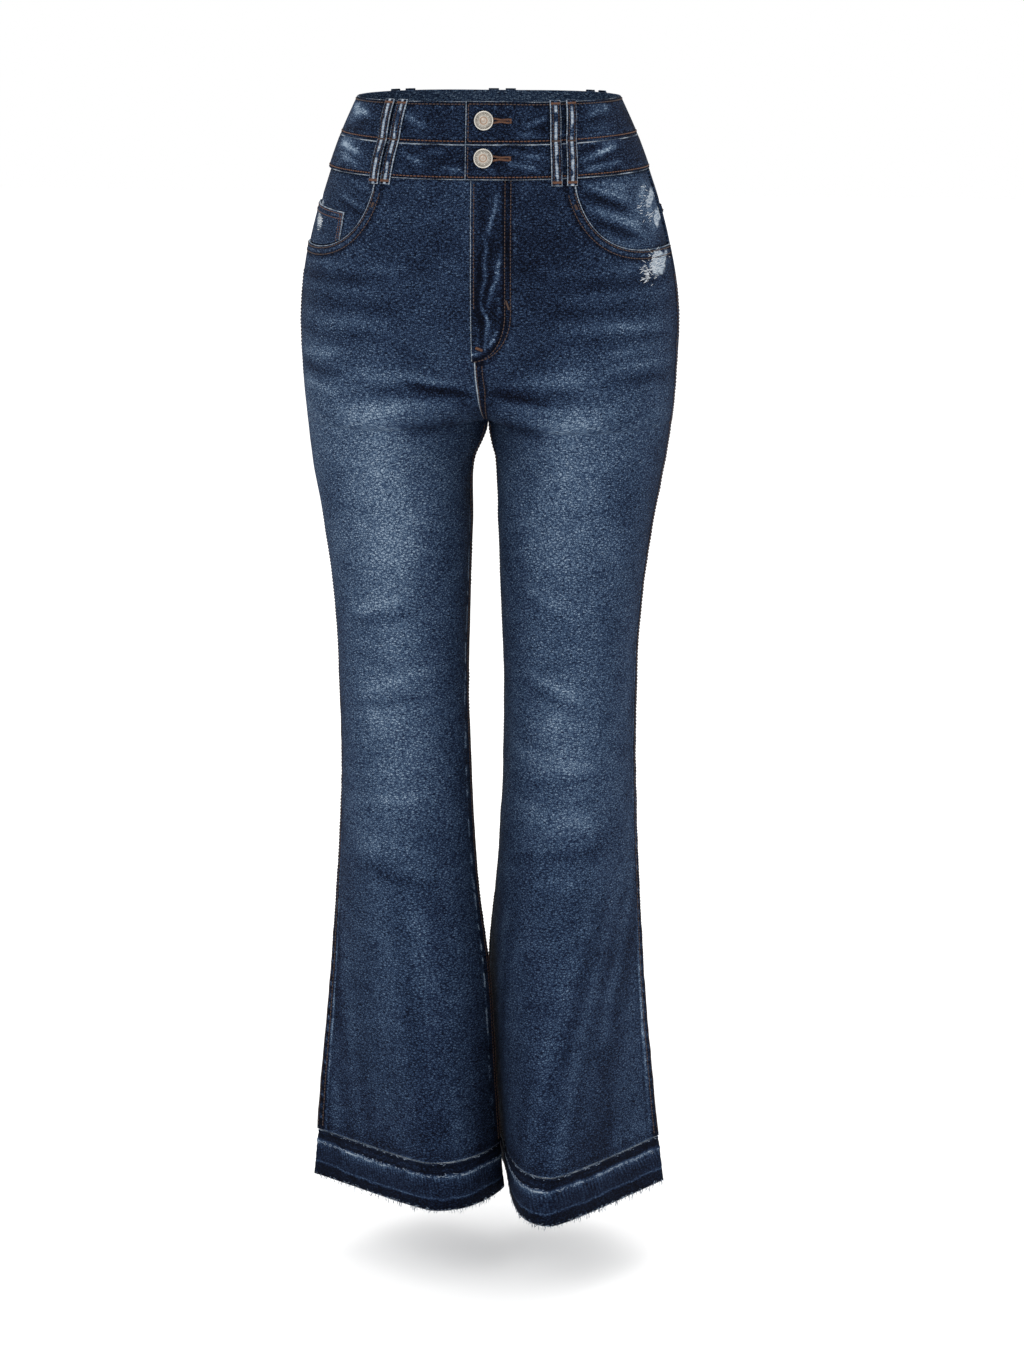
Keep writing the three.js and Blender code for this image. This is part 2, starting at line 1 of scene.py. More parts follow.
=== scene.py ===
import math
import bpy
import mathutils
import mathutils.bvhtree
import numpy as np
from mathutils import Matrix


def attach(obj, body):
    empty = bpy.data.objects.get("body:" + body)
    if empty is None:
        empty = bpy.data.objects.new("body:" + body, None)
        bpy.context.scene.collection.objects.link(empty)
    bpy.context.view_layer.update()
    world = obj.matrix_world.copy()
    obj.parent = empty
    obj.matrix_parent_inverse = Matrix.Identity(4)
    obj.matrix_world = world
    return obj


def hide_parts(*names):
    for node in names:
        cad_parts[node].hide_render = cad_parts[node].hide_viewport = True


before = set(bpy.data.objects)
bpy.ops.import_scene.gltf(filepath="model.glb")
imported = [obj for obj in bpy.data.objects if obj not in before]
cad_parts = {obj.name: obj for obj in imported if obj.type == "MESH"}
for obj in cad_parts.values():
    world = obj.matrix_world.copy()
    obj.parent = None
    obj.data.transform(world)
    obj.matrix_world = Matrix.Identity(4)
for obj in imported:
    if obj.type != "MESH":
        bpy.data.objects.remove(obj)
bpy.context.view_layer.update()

# Sizes in millimetres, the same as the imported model's: +Z up, -Y the front, +X the wearer's left
cut = {
    "cloth": 1.5, "pocketCloth": 1.2, "bandThickness": 2.4, "bandProud": 0.8, "seamGap": 0.3,
    "crotchZ": -297.0, "crotchY": -6.0, "crotchArch": 33.0, "hemTopZ": -992.0, "hemZ": -1037.0,
    "bandSeam": (-34.0, -37.5), "waistSeam": (-65.0, -69.0), "yokeSeam": (-138.0, -104.0),
}
columnNames = ("z", "outer", "inner", "front", "back", "frontX", "backX", "sideY", "inseamY", "point",
               "leanFront", "leanBack")
pelvis = [
    (10, 116, 0, -93, 86, 40, 40, 0, -6, 0, 0, 0),
    (0, 120, 0, -95, 88, 40, 40, 0, -6, 0, 0, 0),
    (-35, 136, 0, -100, 93, 42, 45, 0, -6, 0, 0, 0),
    (-68, 148, 0, -104, 98, 45, 52, 0, -6, 0, 0, 0),
    (-110, 161, 0, -107, 106, 52, 62, 0, -6, 0, 0, 0),
    (-160, 172, 0, -108, 115, 60, 72, 0, -6, 0, 0, 0),
    (-206, 176, 0, -107, 118, 68, 80, 0, -6, 0, 0, 0),
    (-250, 174, 0, -105, 113, 76, 84, 0, -6, 0, 0, 0),
    (-297, 170, 0, -101, 101, 86, 86, 0, -6, 0, 0, 0),
]
legs = {
    "right": [
        (-330, 166, 12, -97, 90, 86, 86, -2, -8, 0, 0, 0),
        (-400, 154, 15, -90, 76, 82, 83, -5, -12, 0, 0, 0),
        (-470, 145, 17, -84, 64, 80, 80, -8, -14, 0, 0, 0),
        (-550, 141, 18, -78, 54, 78, 78, -10, -16, 0.05, 0, 0),
        (-640, 140, 15, -75, 50, 76, 77, -12, -18, 0.15, 0, 0),
        (-740, 145, 9, -80, 58, 72, 76, -14, -20, 0.4, 0, 2),
        (-840, 153, -1, -90, 74, 62, 74, -17, -25, 0.7, 2, 8),
        (-940, 162, -8, -102, 90, 51, 70, -20, -32, 0.9, 4, 13),
        (-1037, 170, -16, -114, 104, 38, 66, -23, -38, 1, 6, 16),
        (-1045, 171, -17, -115, 105, 38, 66, -23, -38, 1, 6, 16),
    ],
    "left": [
        (-330, 165, 7, -98, 90, 86, 86, -1, -6, 0, 0, 0),
        (-400, 152, 10, -92, 78, 84, 83, -1, -4, 0, 0, 0),
        (-470, 143, 12, -88, 66, 82, 80, -1, 0, 0, 0, 0),
        (-550, 139, 14, -86, 56, 81, 78, -1, 6, 0.05, 0, 0),
        (-640, 139, 12, -88, 50, 80, 78, 0, 12, 0.15, 0, 0),
        (-740, 143, 5, -98, 54, 79, 80, 0, 21, 0.4, 2, 0),
        (-840, 149, -3, -112, 68, 77, 84, 1, 38, 0.7, 12, 0),
        (-940, 158, -3, -128, 84, 76, 88, 1, 51, 0.85, 20, 0),
        (-1037, 169, 5, -142, 100, 75, 92, 2, 58, 0.95, 22, 0),
        (-1045, 170, 6, -143, 101, 75, 92, 2, 58, 0.95, 22, 0),
    ],
}
# Creases as soft troughs (or ridges, below zero): s0, z0, s1, z1, width, depth; s runs from the inner seam
creases = {
    ("right", "front"): [
        (12, -256, 95, -268, 11, 2.6), (70, -168, 190, -163, 8, 1.2), (60, -186, 200, -180, 8, 1.4),
        (90, -200, 215, -192, 10, 1.5), (110, -226, 220, -218, 10, 1.3), (40, -600, 130, -590, 14, 1.4),
        (24, -240, 80, -222, 5, 0.7), (30, -276, 120, -290, 7, -0.8), (60, -470, 150, -452, 9, 0.6),
        (30, -690, 120, -668, 8, 0.6), (50, -742, 150, -756, 9, 0.6), (8, -330, 46, -352, 6, 0.8),
    ],
    ("left", "front"): [
        (10, -262, 90, -276, 11, 2.4), (70, -170, 190, -165, 8, 1.2), (50, -188, 190, -182, 8, 1.4),
        (90, -204, 215, -196, 10, 1.5), (120, -232, 225, -222, 10, 1.3), (50, -610, 140, -598, 14, 1.4),
        (36, -232, 90, -214, 5, 0.7), (26, -284, 110, -298, 7, -0.8), (50, -486, 140, -470, 9, 0.6),
        (40, -700, 130, -684, 8, 0.6), (40, -766, 150, -752, 9, 0.6), (8, -334, 44, -358, 6, 0.8),
    ],
    ("right", "back"): [
        (30, -334, 190, -350, 13, 3.2), (60, -374, 200, -364, 12, 2.2), (20, -560, 150, -574, 15, 2.4),
        (40, -606, 170, -596, 15, 2.6), (90, -780, 130, -1037, 24, 3.6), (10, -296, 60, -312, 6, 1.0),
        (60, -402, 150, -396, 9, 1.0), (30, -640, 130, -652, 9, 1.0), (50, -530, 140, -522, 8, 0.8),
    ],
    ("left", "back"): [
        (30, -336, 185, -352, 13, 3.0), (60, -378, 195, -368, 12, 2.2), (25, -566, 155, -578, 15, 2.4),
        (40, -612, 165, -602, 15, 2.6), (150, -780, 180, -1037, 24, 3.4), (10, -298, 64, -314, 6, 1.0),
        (50, -408, 150, -400, 9, 1.0), (40, -648, 140, -658, 9, 1.0), (60, -536, 140, -528, 8, 0.8),
    ],
}
bodyTables = {side: np.array((pelvis + legs[side])[::-1], float) for side in legs}
otherSide = {"right": "left", "left": "right"}
otherFace = {"front": "back", "back": "front"}
roundness = 0.5523  # the handle of a cubic that stands for a quarter circle
samples = 36        # straight pieces that measure each half of a section


def smooth(start, end, x):
    t = np.clip((x - start) / (end - start), 0, 1)
    return t * t * (3 - 2 * t)


def lerp(a, b, t):
    return a + (b - a) * t


# A bell curve over a distance: 1 at its centre, and about a third one width away
def ridge(distance, centre, width):
    return np.exp(-((distance - centre) / width) ** 2)


# A section table at heights z: Hermite cubics through its rows
def tableAt(side, z):
    rows = bodyTables[side]
    heights = rows[:, 0]
    spans = np.diff(heights)[:, None]
    slopes = np.diff(rows, axis=0) / spans
    tangents = np.zeros_like(rows)
    tangents[1:-1] = (slopes[:-1] * spans[1:] + slopes[1:] * spans[:-1]) / (spans[1:] + spans[:-1])
    tangents[0], tangents[-1] = slopes[0], slopes[-1]
    z = np.clip(z, heights[0], heights[-1])
    i = np.clip(np.searchsorted(heights, z, side="right") - 1, 0, len(heights) - 2)
    t = ((z - heights[i]) / spans[i, 0])[:, None]
    values = ((2 * t**3 - 3 * t**2 + 1) * rows[i] + (t**3 - 2 * t**2 + t) * spans[i] * tangents[i]
              + (3 * t**2 - 2 * t**3) * rows[i + 1] + (t**3 - t**2) * spans[i] * tangents[i + 1])
    return dict(zip(columnNames, values.T))


# The outline of each section as two cubics, from the inner seam to the side seam, shape (n, 7, 2)
def outlineAt(side, face, z):
    row = tableAt(side, z)
    front = face == "front"
    apexX, apexY = (row["frontX"], row["front"]) if front else (row["backX"], row["back"])
    start, power = (-170.0, 3.2) if front else (-185.0, 2.8)
    down = np.clip((start - z) / (start - cut["crotchZ"]), 0, 1)
    reach = np.sqrt(1 - down**power)
    opening = np.sqrt(np.clip((cut["crotchZ"] - z) / cut["crotchArch"], 0, 1))
    innerX = np.where(z < cut["crotchZ"], row["inner"] * opening, 0)
    innerY = lerp(row["inseamY"], apexY, reach)
    across = roundness * (1 - smooth(-200, cut["crotchZ"], z)) * (apexX - innerX)
    along = roundness * smooth(cut["crotchZ"], -360, z) * (apexY - innerY)
    lean = row["leanFront"] if front else row["leanBack"]
    outX = lerp(roundness, 0.12, row["point"]) * (row["outer"] - apexX)
    seamX, seamY, crease = row["outer"], row["sideY"], row["point"]
    points = [(innerX, innerY), (innerX + across + lean, innerY + along),
              (apexX - roundness * (apexX - innerX), apexY), (apexX, apexY), (apexX + outX, apexY),
              (seamX - 0.34 * crease * (seamX - apexX),
               seamY - (roundness * (1 - crease) + 0.34 * crease) * (seamY - apexY)), (seamX, seamY)]
    return np.stack([np.stack(p, -1) for p in points], 1)


def cubic(points, t):
    s = 1 - t
    weights = np.stack([s**3, 3 * s * s * t, 3 * s * t * t, t**3], -1)
    return np.einsum("...k,...kd->...d", weights, points)


# Point and section length: u in 0..1 by arc length from the inner seam, z a height; any array shape
def basePoint(side, face, u, z):
    shape = np.broadcast(u, z).shape
    u = np.broadcast_to(u, shape).ravel().astype(float)
    levels, own = np.unique(np.broadcast_to(z, shape).ravel().astype(float), return_inverse=True)
    own = own.ravel()
    points = outlineAt(side, face, levels)
    t = np.linspace(0, 1, samples + 1)
    first = cubic(points[:, None, 0:4], np.broadcast_to(t, (len(levels), samples + 1)))
    second = cubic(points[:, None, 3:7], np.broadcast_to(t, (len(levels), samples + 1)))
    line = np.concatenate([first, second[:, 1:]], 1)
    lengths = np.zeros((len(levels), 2 * samples + 1))
    lengths[:, 1:] = np.cumsum(np.linalg.norm(np.diff(line, axis=1), axis=2), 1)
    want = u * lengths[own, -1]
    i = np.clip((lengths[own] <= want[:, None]).sum(1) - 1, 0, 2 * samples - 1)
    share = (want - lengths[own, i]) / np.maximum(lengths[own, i + 1] - lengths[own, i], 1e-9)
    place = (i + share) / samples
    inFirst = place <= 1
    chosen = np.where(inFirst[:, None, None], points[own, 0:4], points[own, 3:7])
    xy = cubic(chosen, np.where(inFirst, place, place - 1))
    sign = -1 if side == "right" else 1
    out = np.stack([sign * xy[:, 0], xy[:, 1], levels[own]], -1)
    return out.reshape(shape + (3,)), lengths[own, -1].reshape(shape)


def lengthAt(side, face, z):
    return basePoint(side, face, np.full(np.shape(z), 0.5), z)[1]


def unit(v):
    return v / np.maximum(np.linalg.norm(v, axis=-1, keepdims=True), 1e-9)


def faceNormal(side, face, u, z):
    du, dz = 0.004, 0.6
    after = basePoint(side, face, np.minimum(1, u + du), z)[0]
    across = after - basePoint(side, face, np.maximum(0, u - du), z)[0]
    up = basePoint(side, face, u, z + dz)[0] - basePoint(side, face, u, z - dz)[0]
    normal = unit(np.cross(across, up))
    return -normal if (side == "right") == (face == "front") else normal


# Normals that the two sides of a seam share, blended in over the last few millimetres
def bodyNormal(side, face, u, z, length, blend=4.0):
    own = faceNormal(side, face, u, z)
    toSide, toInner = (1 - u) * length, u * length
    near = np.clip(1 - np.minimum(toSide, toInner) / blend, 0, 1)
    close = near > 0
    if close.any():
        mine, height, beside = own[close], z[close], (toSide < toInner)[close]
        ones = np.ones(close.sum())
        sideShared = unit(mine + faceNormal(side, otherFace[face], ones, height))
        legShared = unit(mine + faceNormal(side, otherFace[face], 0 * ones, height))
        middle = unit(mine * np.array([0.0, 1.0, 1.0]))
        inner = np.where((height > cut["crotchZ"])[:, None], middle, legShared)
        inner = np.where((np.abs(height - cut["crotchZ"]) < 0.5)[:, None], np.array([0.0, 0.0, -1.0]), inner)
        shared = np.where(beside[:, None], sideShared, inner)
        blended = own.copy()
        share = near[close][:, None]
        blended[close] = unit(mine * (1 - share) + shared * share)
        return blended, 1 / np.maximum(0.6, (blended * own).sum(-1))
    return own, np.ones(u.shape)


# Crease height: each crease is a Gaussian trough about its own line
def creaseHeight(side, face, s, z):
    height = np.zeros(np.broadcast(s, z).shape)
    for s0, z0, s1, z1, width, depth in creases[(side, face)]:
        run = np.array([s1 - s0, z1 - z0], float)
        t = np.clip(((s - s0) * run[0] + (z - z0) * run[1]) / (run @ run), 0, 1)
        away = np.hypot(s - s0 - t * run[0], z - z0 - t * run[1])
        height -= depth * ridge(away, 0, width)
    return height


# The cloth surface moved out by offset: points, and normals as long as a unit of offset moves them
def onBody(side, face, u, z, offset=0.0):
    u, z = np.broadcast_arrays(np.asarray(u, float), np.asarray(z, float))
    point, length = basePoint(side, face, u, z)
    normal, stretch = bodyNormal(side, face, u, z, length)
    normal = normal * stretch[..., None]
    out = creaseHeight(side, face, u * length, z) + offset
    return point + normal * out[..., None], normal


def shareAtX(side, face, x, z):
    low, high = 0.0, 1.0
    for _ in range(24):
        middle = (low + high) / 2
        if abs(basePoint(side, face, middle, z)[0][..., 0]) < x:
            low = middle
        else:
            high = middle
    return low


def centreWeight(face, u):
    return np.cos(math.pi / 2 * np.clip(np.abs(u), 0, 1)) ** 2 if face == "front" else np.zeros_like(u)


def bandSeamZ(face, u):
    return lerp(cut["bandSeam"][0], cut["bandSeam"][1], centreWeight(face, u))


def waistSeamZ(face, u):
    return lerp(cut["waistSeam"][0], cut["waistSeam"][1], centreWeight(face, u))


def yokeSeamZ(u):
    return lerp(cut["yokeSeam"][0], cut["yokeSeam"][1], u)


scoop = {"startX": 90.0, "flatX": 140.0, "depth": 68.0, "fullness": 2.2}


# The pocket mouth: a superellipse quarter down from the waist, then level to the side seam
def scoopZ(side, u):
    top = waistSeamZ("front", u)
    x = np.abs(basePoint(side, "front", u, top)[0][..., 0])
    left = np.clip((scoop["flatX"] - x) / (scoop["flatX"] - scoop["startX"]), 0, 1)
    drop = scoop["depth"] * (1 - left ** scoop["fullness"]) ** (1 / scoop["fullness"])
    return top - drop


print("stage: body surface ready")


# Closed wall from an outer and an inner grid (rows, columns, 3), with point values and a cloth UV in metres
def wallObject(name, outer, inner, values, clothUv, material):
    rows, columns = outer.shape[:2]
    points = np.concatenate([outer.reshape(-1, 3), inner.reshape(-1, 3)]) * 0.001
    j, i = np.meshgrid(np.arange(rows - 1), np.arange(columns - 1), indexing="ij")
    a = (j * columns + i).ravel()
    quads = [np.stack([a, a + columns, a + columns + 1, a + 1], -1)]
    back = a + rows * columns
    quads.append(np.stack([back, back + 1, back + columns + 1, back + columns], -1))
    shift = rows * columns
    i = np.arange(columns - 1)
    quads.append(np.stack([i, i + 1, i + 1 + shift, i + shift], -1))
    i = i + (rows - 1) * columns
    quads.append(np.stack([i + 1, i, i + shift, i + 1 + shift], -1))
    j = np.arange(rows - 1) * columns
    quads.append(np.stack([j + columns, j, j + shift, j + columns + shift], -1))
    j = j + columns - 1
    quads.append(np.stack([j, j + columns, j + columns + shift, j + shift], -1))
    faces = np.concatenate(quads)
    corner = points[faces]
    volume = (np.cross(corner[:, 0] - corner[:, 2], corner[:, 1] - corner[:, 3]) * corner.mean(1)).sum()
    if volume < 0:
        faces = faces[:, ::-1]
    uv = np.concatenate([clothUv.reshape(-1, 2), clothUv.reshape(-1, 2)])
    return meshObject(name, points, faces, material, values, uv)


def meshObject(name, points, faces, material, values=None, uv=None, flat=False):
    mesh = bpy.data.meshes.new(name)
    mesh.vertices.add(len(points))
    mesh.vertices.foreach_set("co", np.ascontiguousarray(points, np.float32).ravel())
    size = faces.shape[1]
    mesh.loops.add(faces.size)
    mesh.loops.foreach_set("vertex_index", np.ascontiguousarray(faces, np.int32).ravel())
    mesh.polygons.add(len(faces))
    mesh.polygons.foreach_set("loop_start", np.arange(0, faces.size, size, dtype=np.int32))
    mesh.polygons.foreach_set("use_smooth", np.full(len(faces), not flat))
    mesh.update(calc_edges=True)
    for key, value in (values or {}).items():
        layer = mesh.attributes.new(key, "FLOAT", "POINT")
        layer.data.foreach_set("value", value.astype(np.float32))
    if uv is not None:
        layer = mesh.uv_layers.new(name="cloth")
        layer.data.foreach_set("uv", uv[faces.ravel()].astype(np.float32).ravel())
    mesh.validate()
    piece = bpy.data.objects.new(name, mesh)
    bpy.context.scene.collection.objects.link(piece)
    mesh.materials.append(material)
    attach(piece, "root")
    return piece


# Shader helpers: a node tree is written as small calls
class Tree:
    def __init__(self, name):
        self.material = bpy.data.materials.new(name)
        self.material.use_nodes = True
        self.nodes = self.material.node_tree.nodes
        self.links = self.material.node_tree.links
        self.nodes.clear()
        self.output = self.nodes.new("ShaderNodeOutputMaterial")
        self.shader = self.nodes.new("ShaderNodeBsdfPrincipled")
        self.links.new(self.shader.outputs[0], self.output.inputs[0])

    def put(self, kind, settings=None, **inputs):
        node = self.nodes.new("ShaderNode" + kind)
        for key, value in (settings or {}).items():
            setattr(node, key, value)
        for key, value in inputs.items():
            socket = node.inputs[int(key[1:])] if key[0] == "i" and key[1:].isdigit() else node.inputs[key]
            self.feed(socket, value)
        return node

    def feed(self, socket, value):
        if isinstance(value, bpy.types.NodeSocket):
            self.links.new(value, socket)
        else:
            socket.default_value = value

    def math(self, operation, a, b=0.0, clamp=False):
        return self.put("Math", {"operation": operation, "use_clamp": clamp}, i0=a, i1=b).outputs[0]

    def add(self, a, b, clamp=False):
        return self.math("ADD", a, b, clamp)

    def times(self, a, b, clamp=False):
        return self.math("MULTIPLY", a, b, clamp)

    def swing(self, value, amount, clamp=False):
        return self.times(self.math("SUBTRACT", value, 0.5), amount, clamp)

    def mix(self, factor, a, b):
        node = self.put("Mix", {"data_type": "RGBA"})
        self.feed(node.inputs["Factor"], factor)
        self.feed(node.inputs[6], a)
        self.feed(node.inputs[7], b)
        return node.outputs[2]

    def noise(self, vector, scale, detail=2.0, rough=0.5):
        node = self.put("TexNoise", None, Vector=vector, Scale=scale, Detail=detail, Roughness=rough)
        return node.outputs["Fac"]

    def stretch(self, vector, size, turn=0.0):
        node = self.put("Mapping", None, Vector=vector)
        node.inputs["Scale"].default_value = size
        node.inputs["Rotation"].default_value = (0, 0, turn)
        return node.outputs[0]

    def ramp(self, factor, stops):
        node = self.put("ValToRGB")
        elements = node.color_ramp.elements
        for k, (place, colour) in enumerate(stops):
            element = elements[k] if k < 2 else elements.new(place)
            element.position = place
            element.color = (*colour, 1)
        self.links.new(factor, node.inputs[0])
        return node.outputs[0]

    def attribute(self, name):
        return self.put("Attribute", {"attribute_name": name}).outputs["Fac"]


# Washed denim: indigo that pales with the fadeAndShade value (wash fading with painted shade in it), slubs
# and twill along the cloth's own UV, and worn pale edges where the wear value is high
denimLook = {
    "darkest": (0.0012, 0.0018, 0.0048), "dark": (0.0060, 0.0110, 0.0275), "middle": (0.021, 0.0385, 0.079),
    "light": (0.074, 0.118, 0.185), "palest": (0.27, 0.34, 0.42),
    "wornDark": (0.085, 0.130, 0.200), "wornPale": (0.38, 0.43, 0.48),
}


def denimMaterial(name, shade=0.0, grain=1.0):
    tree = Tree(name)
    cloth = tree.put("UVMap", {"uv_map": "cloth"}).outputs[0]
    fadeAndShade = tree.attribute("fadeAndShade")
    wear = tree.attribute("wear")
    slubs = tree.noise(tree.stretch(cloth, (1.0, 0.55, 1)), 1020.0, 4.0, 0.7)
    crepe = tree.noise(tree.stretch(cloth, (0.36, 1.0, 1)), 780.0, 3.0, 0.65)
    cloudy = tree.noise(cloth, 26.0, 4.0, 0.6)
    cells = tree.put("TexVoronoi", {"feature": "DISTANCE_TO_EDGE"}, Scale=560.0,
                     Vector=tree.stretch(cloth, (0.62, 1.0, 1))).outputs["Distance"]
    cracks = tree.times(cells, 5.0, True)
    diagonal = {"wave_type": "BANDS", "bands_direction": "DIAGONAL"}
    twill = tree.put("TexWave", diagonal, Vector=cloth, Scale=330.0, Distortion=1.2).outputs["Fac"]
    # below the knee the slubs give way to a crosswise crepe: amounts above, and what the lower leg adds
    height = tree.put("SeparateXYZ", None, Vector=cloth).outputs["Y"]
    low = tree.times(tree.add(height, 0.42), -2.9, True)
    parts = [(slubs, 1.45, -0.85), (crepe, 1.20, -0.15), (cracks, 0.34, 0.06), (twill, 0.08, 0.0)]
    tone = tree.add(fadeAndShade, shade)
    for value, amount, more in parts:
        amounts = tree.add(tree.times(low, more * grain), amount * grain)
        tone = tree.add(tone, tree.swing(value, amounts))
    tone = tree.add(tone, tree.swing(cloudy, 0.26))
    look = denimLook
    colour = tree.ramp(tone, [(0.0, look["darkest"]), (1.0, look["palest"]), (0.25, look["dark"]),
                              (0.5, look["middle"]), (0.75, look["light"])])
    ragged = tree.add(tree.swing(slubs, 1.5),
                       tree.swing(cloudy, 0.8))
    worn = tree.add(tree.times(wear, 1.45), ragged)
    worn = tree.times(tree.math("SUBTRACT", worn, 0.55), 1.9, True)
    worn = tree.times(worn, tree.times(wear, 6.0, True))
    weft = tree.noise(tree.stretch(cloth, (0.12, 1.0, 1)), 900.0, 1.0)
    wornColour = tree.ramp(weft, [(0.32, look["wornDark"]), (0.60, look["wornPale"])])
    colour = tree.mix(worn, colour, wornColour)
    tree.feed(tree.shader.inputs["Base Color"], colour)
    tree.shader.inputs["Roughness"].default_value = 0.95
    tree.shader.inputs["Specular IOR Level"].default_value = 0.06
    relief = tree.add(tree.times(slubs, 0.6), tree.times(crepe, 0.8))
    relief = tree.add(relief, tree.times(cracks, 0.35))
    bump = tree.put("Bump", None, Strength=0.75, Distance=0.0007, Height=relief)
    tree.links.new(bump.outputs[0], tree.shader.inputs["Normal"])
    return tree.material


def threadMaterial(name, colour, pale):
    tree = Tree(name)
    place = tree.put("TexCoord").outputs["Object"]
    mottle = tree.noise(place, 420.0, 2.0)
    tree.feed(tree.shader.inputs["Base Color"], tree.mix(mottle, (*colour, 1), (*pale, 1)))
    tree.shader.inputs["Roughness"].default_value = 0.7
    ply = tree.put("TexWave", {"bands_direction": "DIAGONAL"}, Vector=place, Scale=900.0).outputs["Fac"]
    bump = tree.put("Bump", None, Strength=0.4, Distance=0.0002, Height=ply)
    tree.links.new(bump.outputs[0], tree.shader.inputs["Normal"])
    return tree.material


def metalMaterial(name, colour, rough):
    tree = Tree(name)
    place = tree.put("TexCoord").outputs["Object"]
    smear = tree.noise(place, 260.0, 4.0, 0.6)
    patches = tree.swing(smear, 0.9, True)
    grime = tree.add(tree.times(tree.attribute("grime"), 0.95), patches, True)
    shade = tree.mix(grime, (*colour, 1), (0.085, 0.070, 0.056, 1))
    shade = tree.mix(tree.attribute("copper"), shade, (0.30, 0.165, 0.095, 1))
    tree.feed(tree.shader.inputs["Base Color"], shade)
    tree.feed(tree.shader.inputs["Roughness"], tree.add(tree.times(grime, 0.3), rough))
    tree.shader.inputs["Metallic"].default_value = 0.85
    bump = tree.put("Bump", None, Strength=0.12, Distance=0.0002, Height=smear)
    tree.links.new(bump.outputs[0], tree.shader.inputs["Normal"])
    return tree.material


denim = denimMaterial("washed_denim")
rawDenim = denimMaterial("let_down_denim", -0.02, 0.7)
navyThread = threadMaterial("navy_thread", (0.006, 0.005, 0.007), (0.085, 0.042, 0.027))
copperThread = threadMaterial("copper_thread", (0.036, 0.014, 0.008), (0.17, 0.070, 0.033))
frayThread = threadMaterial("frayed_yarn", (0.42, 0.46, 0.52), (0.75, 0.78, 0.80))
foldThread = threadMaterial("pale_indigo_yarn", (0.10, 0.145, 0.22), (0.30, 0.37, 0.46))
nickel = metalMaterial("button_nickel", (0.62, 0.59, 0.53), 0.30)
darkYarn = threadMaterial("indigo_yarn", (0.012, 0.018, 0.04), (0.10, 0.13, 0.19))
print("stage: materials ready")


# The wash of unworn cloth, from 0, darkest, to 1, palest
baseFade = 0.34
# Soft blobs added to it: x outwards from the middle, z height, half width, half height, all in mm, amount
frontWash = [
    (84, -375, 44, 120, 0.26), (80, -585, 42, 90, 0.20), (80, -800, 60, 170, 0.06), (150, -260, 34, 40, 0.10),
    (60, -140, 50, 60, -0.03), (110, -300, 50, 34, 0.08),
]
backWash = [
    (84, -225, 60, 85, 0.30), (84, -420, 55, 110, 0.16), (82, -700, 50, 120, 0.12),
]
# The same for the front of one side alone
ownWash = {
    "right": [(96, -430, 44, 150, 0.09), (160, -330, 26, 90, 0.09), (84, -760, 40, 150, 0.05),
              (120, -60, 60, 30, -0.04)],
    "left": [(62, -128, 56, 84, -0.13), (30, -250, 40, 60, -0.05), (150, -700, 40, 220, 0.05)],
}
# Pale ridges beside dark troughs, the pale ones rubbed whiskers and the dark ones painted shade in the crease
# troughs: x0, z0, x1, z1, width, amount
frontWhiskersAndCreaseShade = [
    (172, -148, 96, -151, 4, 0.12), (172, -160, 80, -164, 4, -0.07), (174, -170, 70, -172, 5, 0.12),
    (174, -184, 60, -186, 5, -0.07), (172, -196, 84, -201, 5, 0.11), (172, -210, 80, -214, 4, -0.06),
    (170, -222, 100, -230, 5, 0.10), (120, -246, 24, -252, 5, 0.10), (110, -264, 6, -260, 6, -0.13),
    (120, -276, 20, -274, 5, 0.08), (70, -300, 12, -290, 7, -0.14),
]


# Hidden sides: creases under the seat and behind the knee, pale rubbed crests beside dark rows of painted
# shade in the crease troughs
backStreaks = [
    (20, -322, 150, -340, 5, 0.14), (16, -334, 156, -352, 5, -0.20), (30, -352, 150, -366, 6, 0.14),
    (60, -372, 160, -366, 5, -0.14), (40, -396, 150, -386, 6, 0.10), (24, -552, 120, -562, 6, 0.16),
    (20, -566, 124, -578, 5, -0.18), (30, -584, 130, -590, 6, 0.16), (26, -602, 128, -600, 5, -0.18),
    (30, -620, 126, -612, 6, 0.14), (34, -640, 120, -646, 5, -0.12), (20, -520, 100, -532, 5, 0.08),
    (10, -300, 70, -306, 4, -0.16), (14, -286, 90, -290, 5, 0.10), (30, -120, 120, -112, 5, 0.08),
]
# Creases and rubs of one side alone, in the same terms; the dark rows are painted shade in the creases, the
# darkest along the crotch creases
ownStreaks = {
    "right": [
        (67, -252, 3, -266, 4, -0.30), (80, -243, 12, -256, 6, 0.14), (96, -150, 60, -152, 5, 0.10),
        (172, -232, 128, -229, 4, 0.18), (172, -243, 120, -247, 4, -0.16), (172, -258, 118, -262, 5, 0.14),
        (130, -286, 60, -278, 7, 0.14), (120, -470, 60, -452, 5, 0.12), (120, -480, 50, -466, 5, -0.10),
        (112, -546, 40, -520, 5, 0.10), (118, -560, 40, -548, 5, -0.10), (125, -655, 40, -640, 9, 0.10),
        (128, -690, 50, -704, 9, 0.08), (130, -716, 40, -730, 6, -0.10), (128, -655, 90, -760, 10, 0.05),
    ],
    "left": [
        (12, -262, 78, -272, 4, -0.26), (100, -240, 44, -248, 6, 0.14), (60, -150, 96, -152, 5, 0.08),
        (172, -236, 120, -238, 4, 0.14), (172, -250, 110, -252, 4, -0.16), (172, -206, 120, -200, 4, 0.12),
        (120, -284, 50, -292, 7, 0.14), (40, -440, 84, -462, 5, 0.10), (44, -520, 100, -548, 5, 0.12),
        (40, -532, 100, -560, 5, -0.10), (30, -600, 110, -612, 9, 0.12), (36, -628, 120, -622, 5, -0.10),
        (30, -650, 120, -668, 10, 0.12), (36, -700, 120, -690, 5, -0.09), (40, -716, 110, -722, 8, 0.07),
    ],
}


def blob(x, z, x0, z0, width, height):
    return np.exp(-(((x - x0) / width) ** 2 + ((z - z0) / height) ** 2))


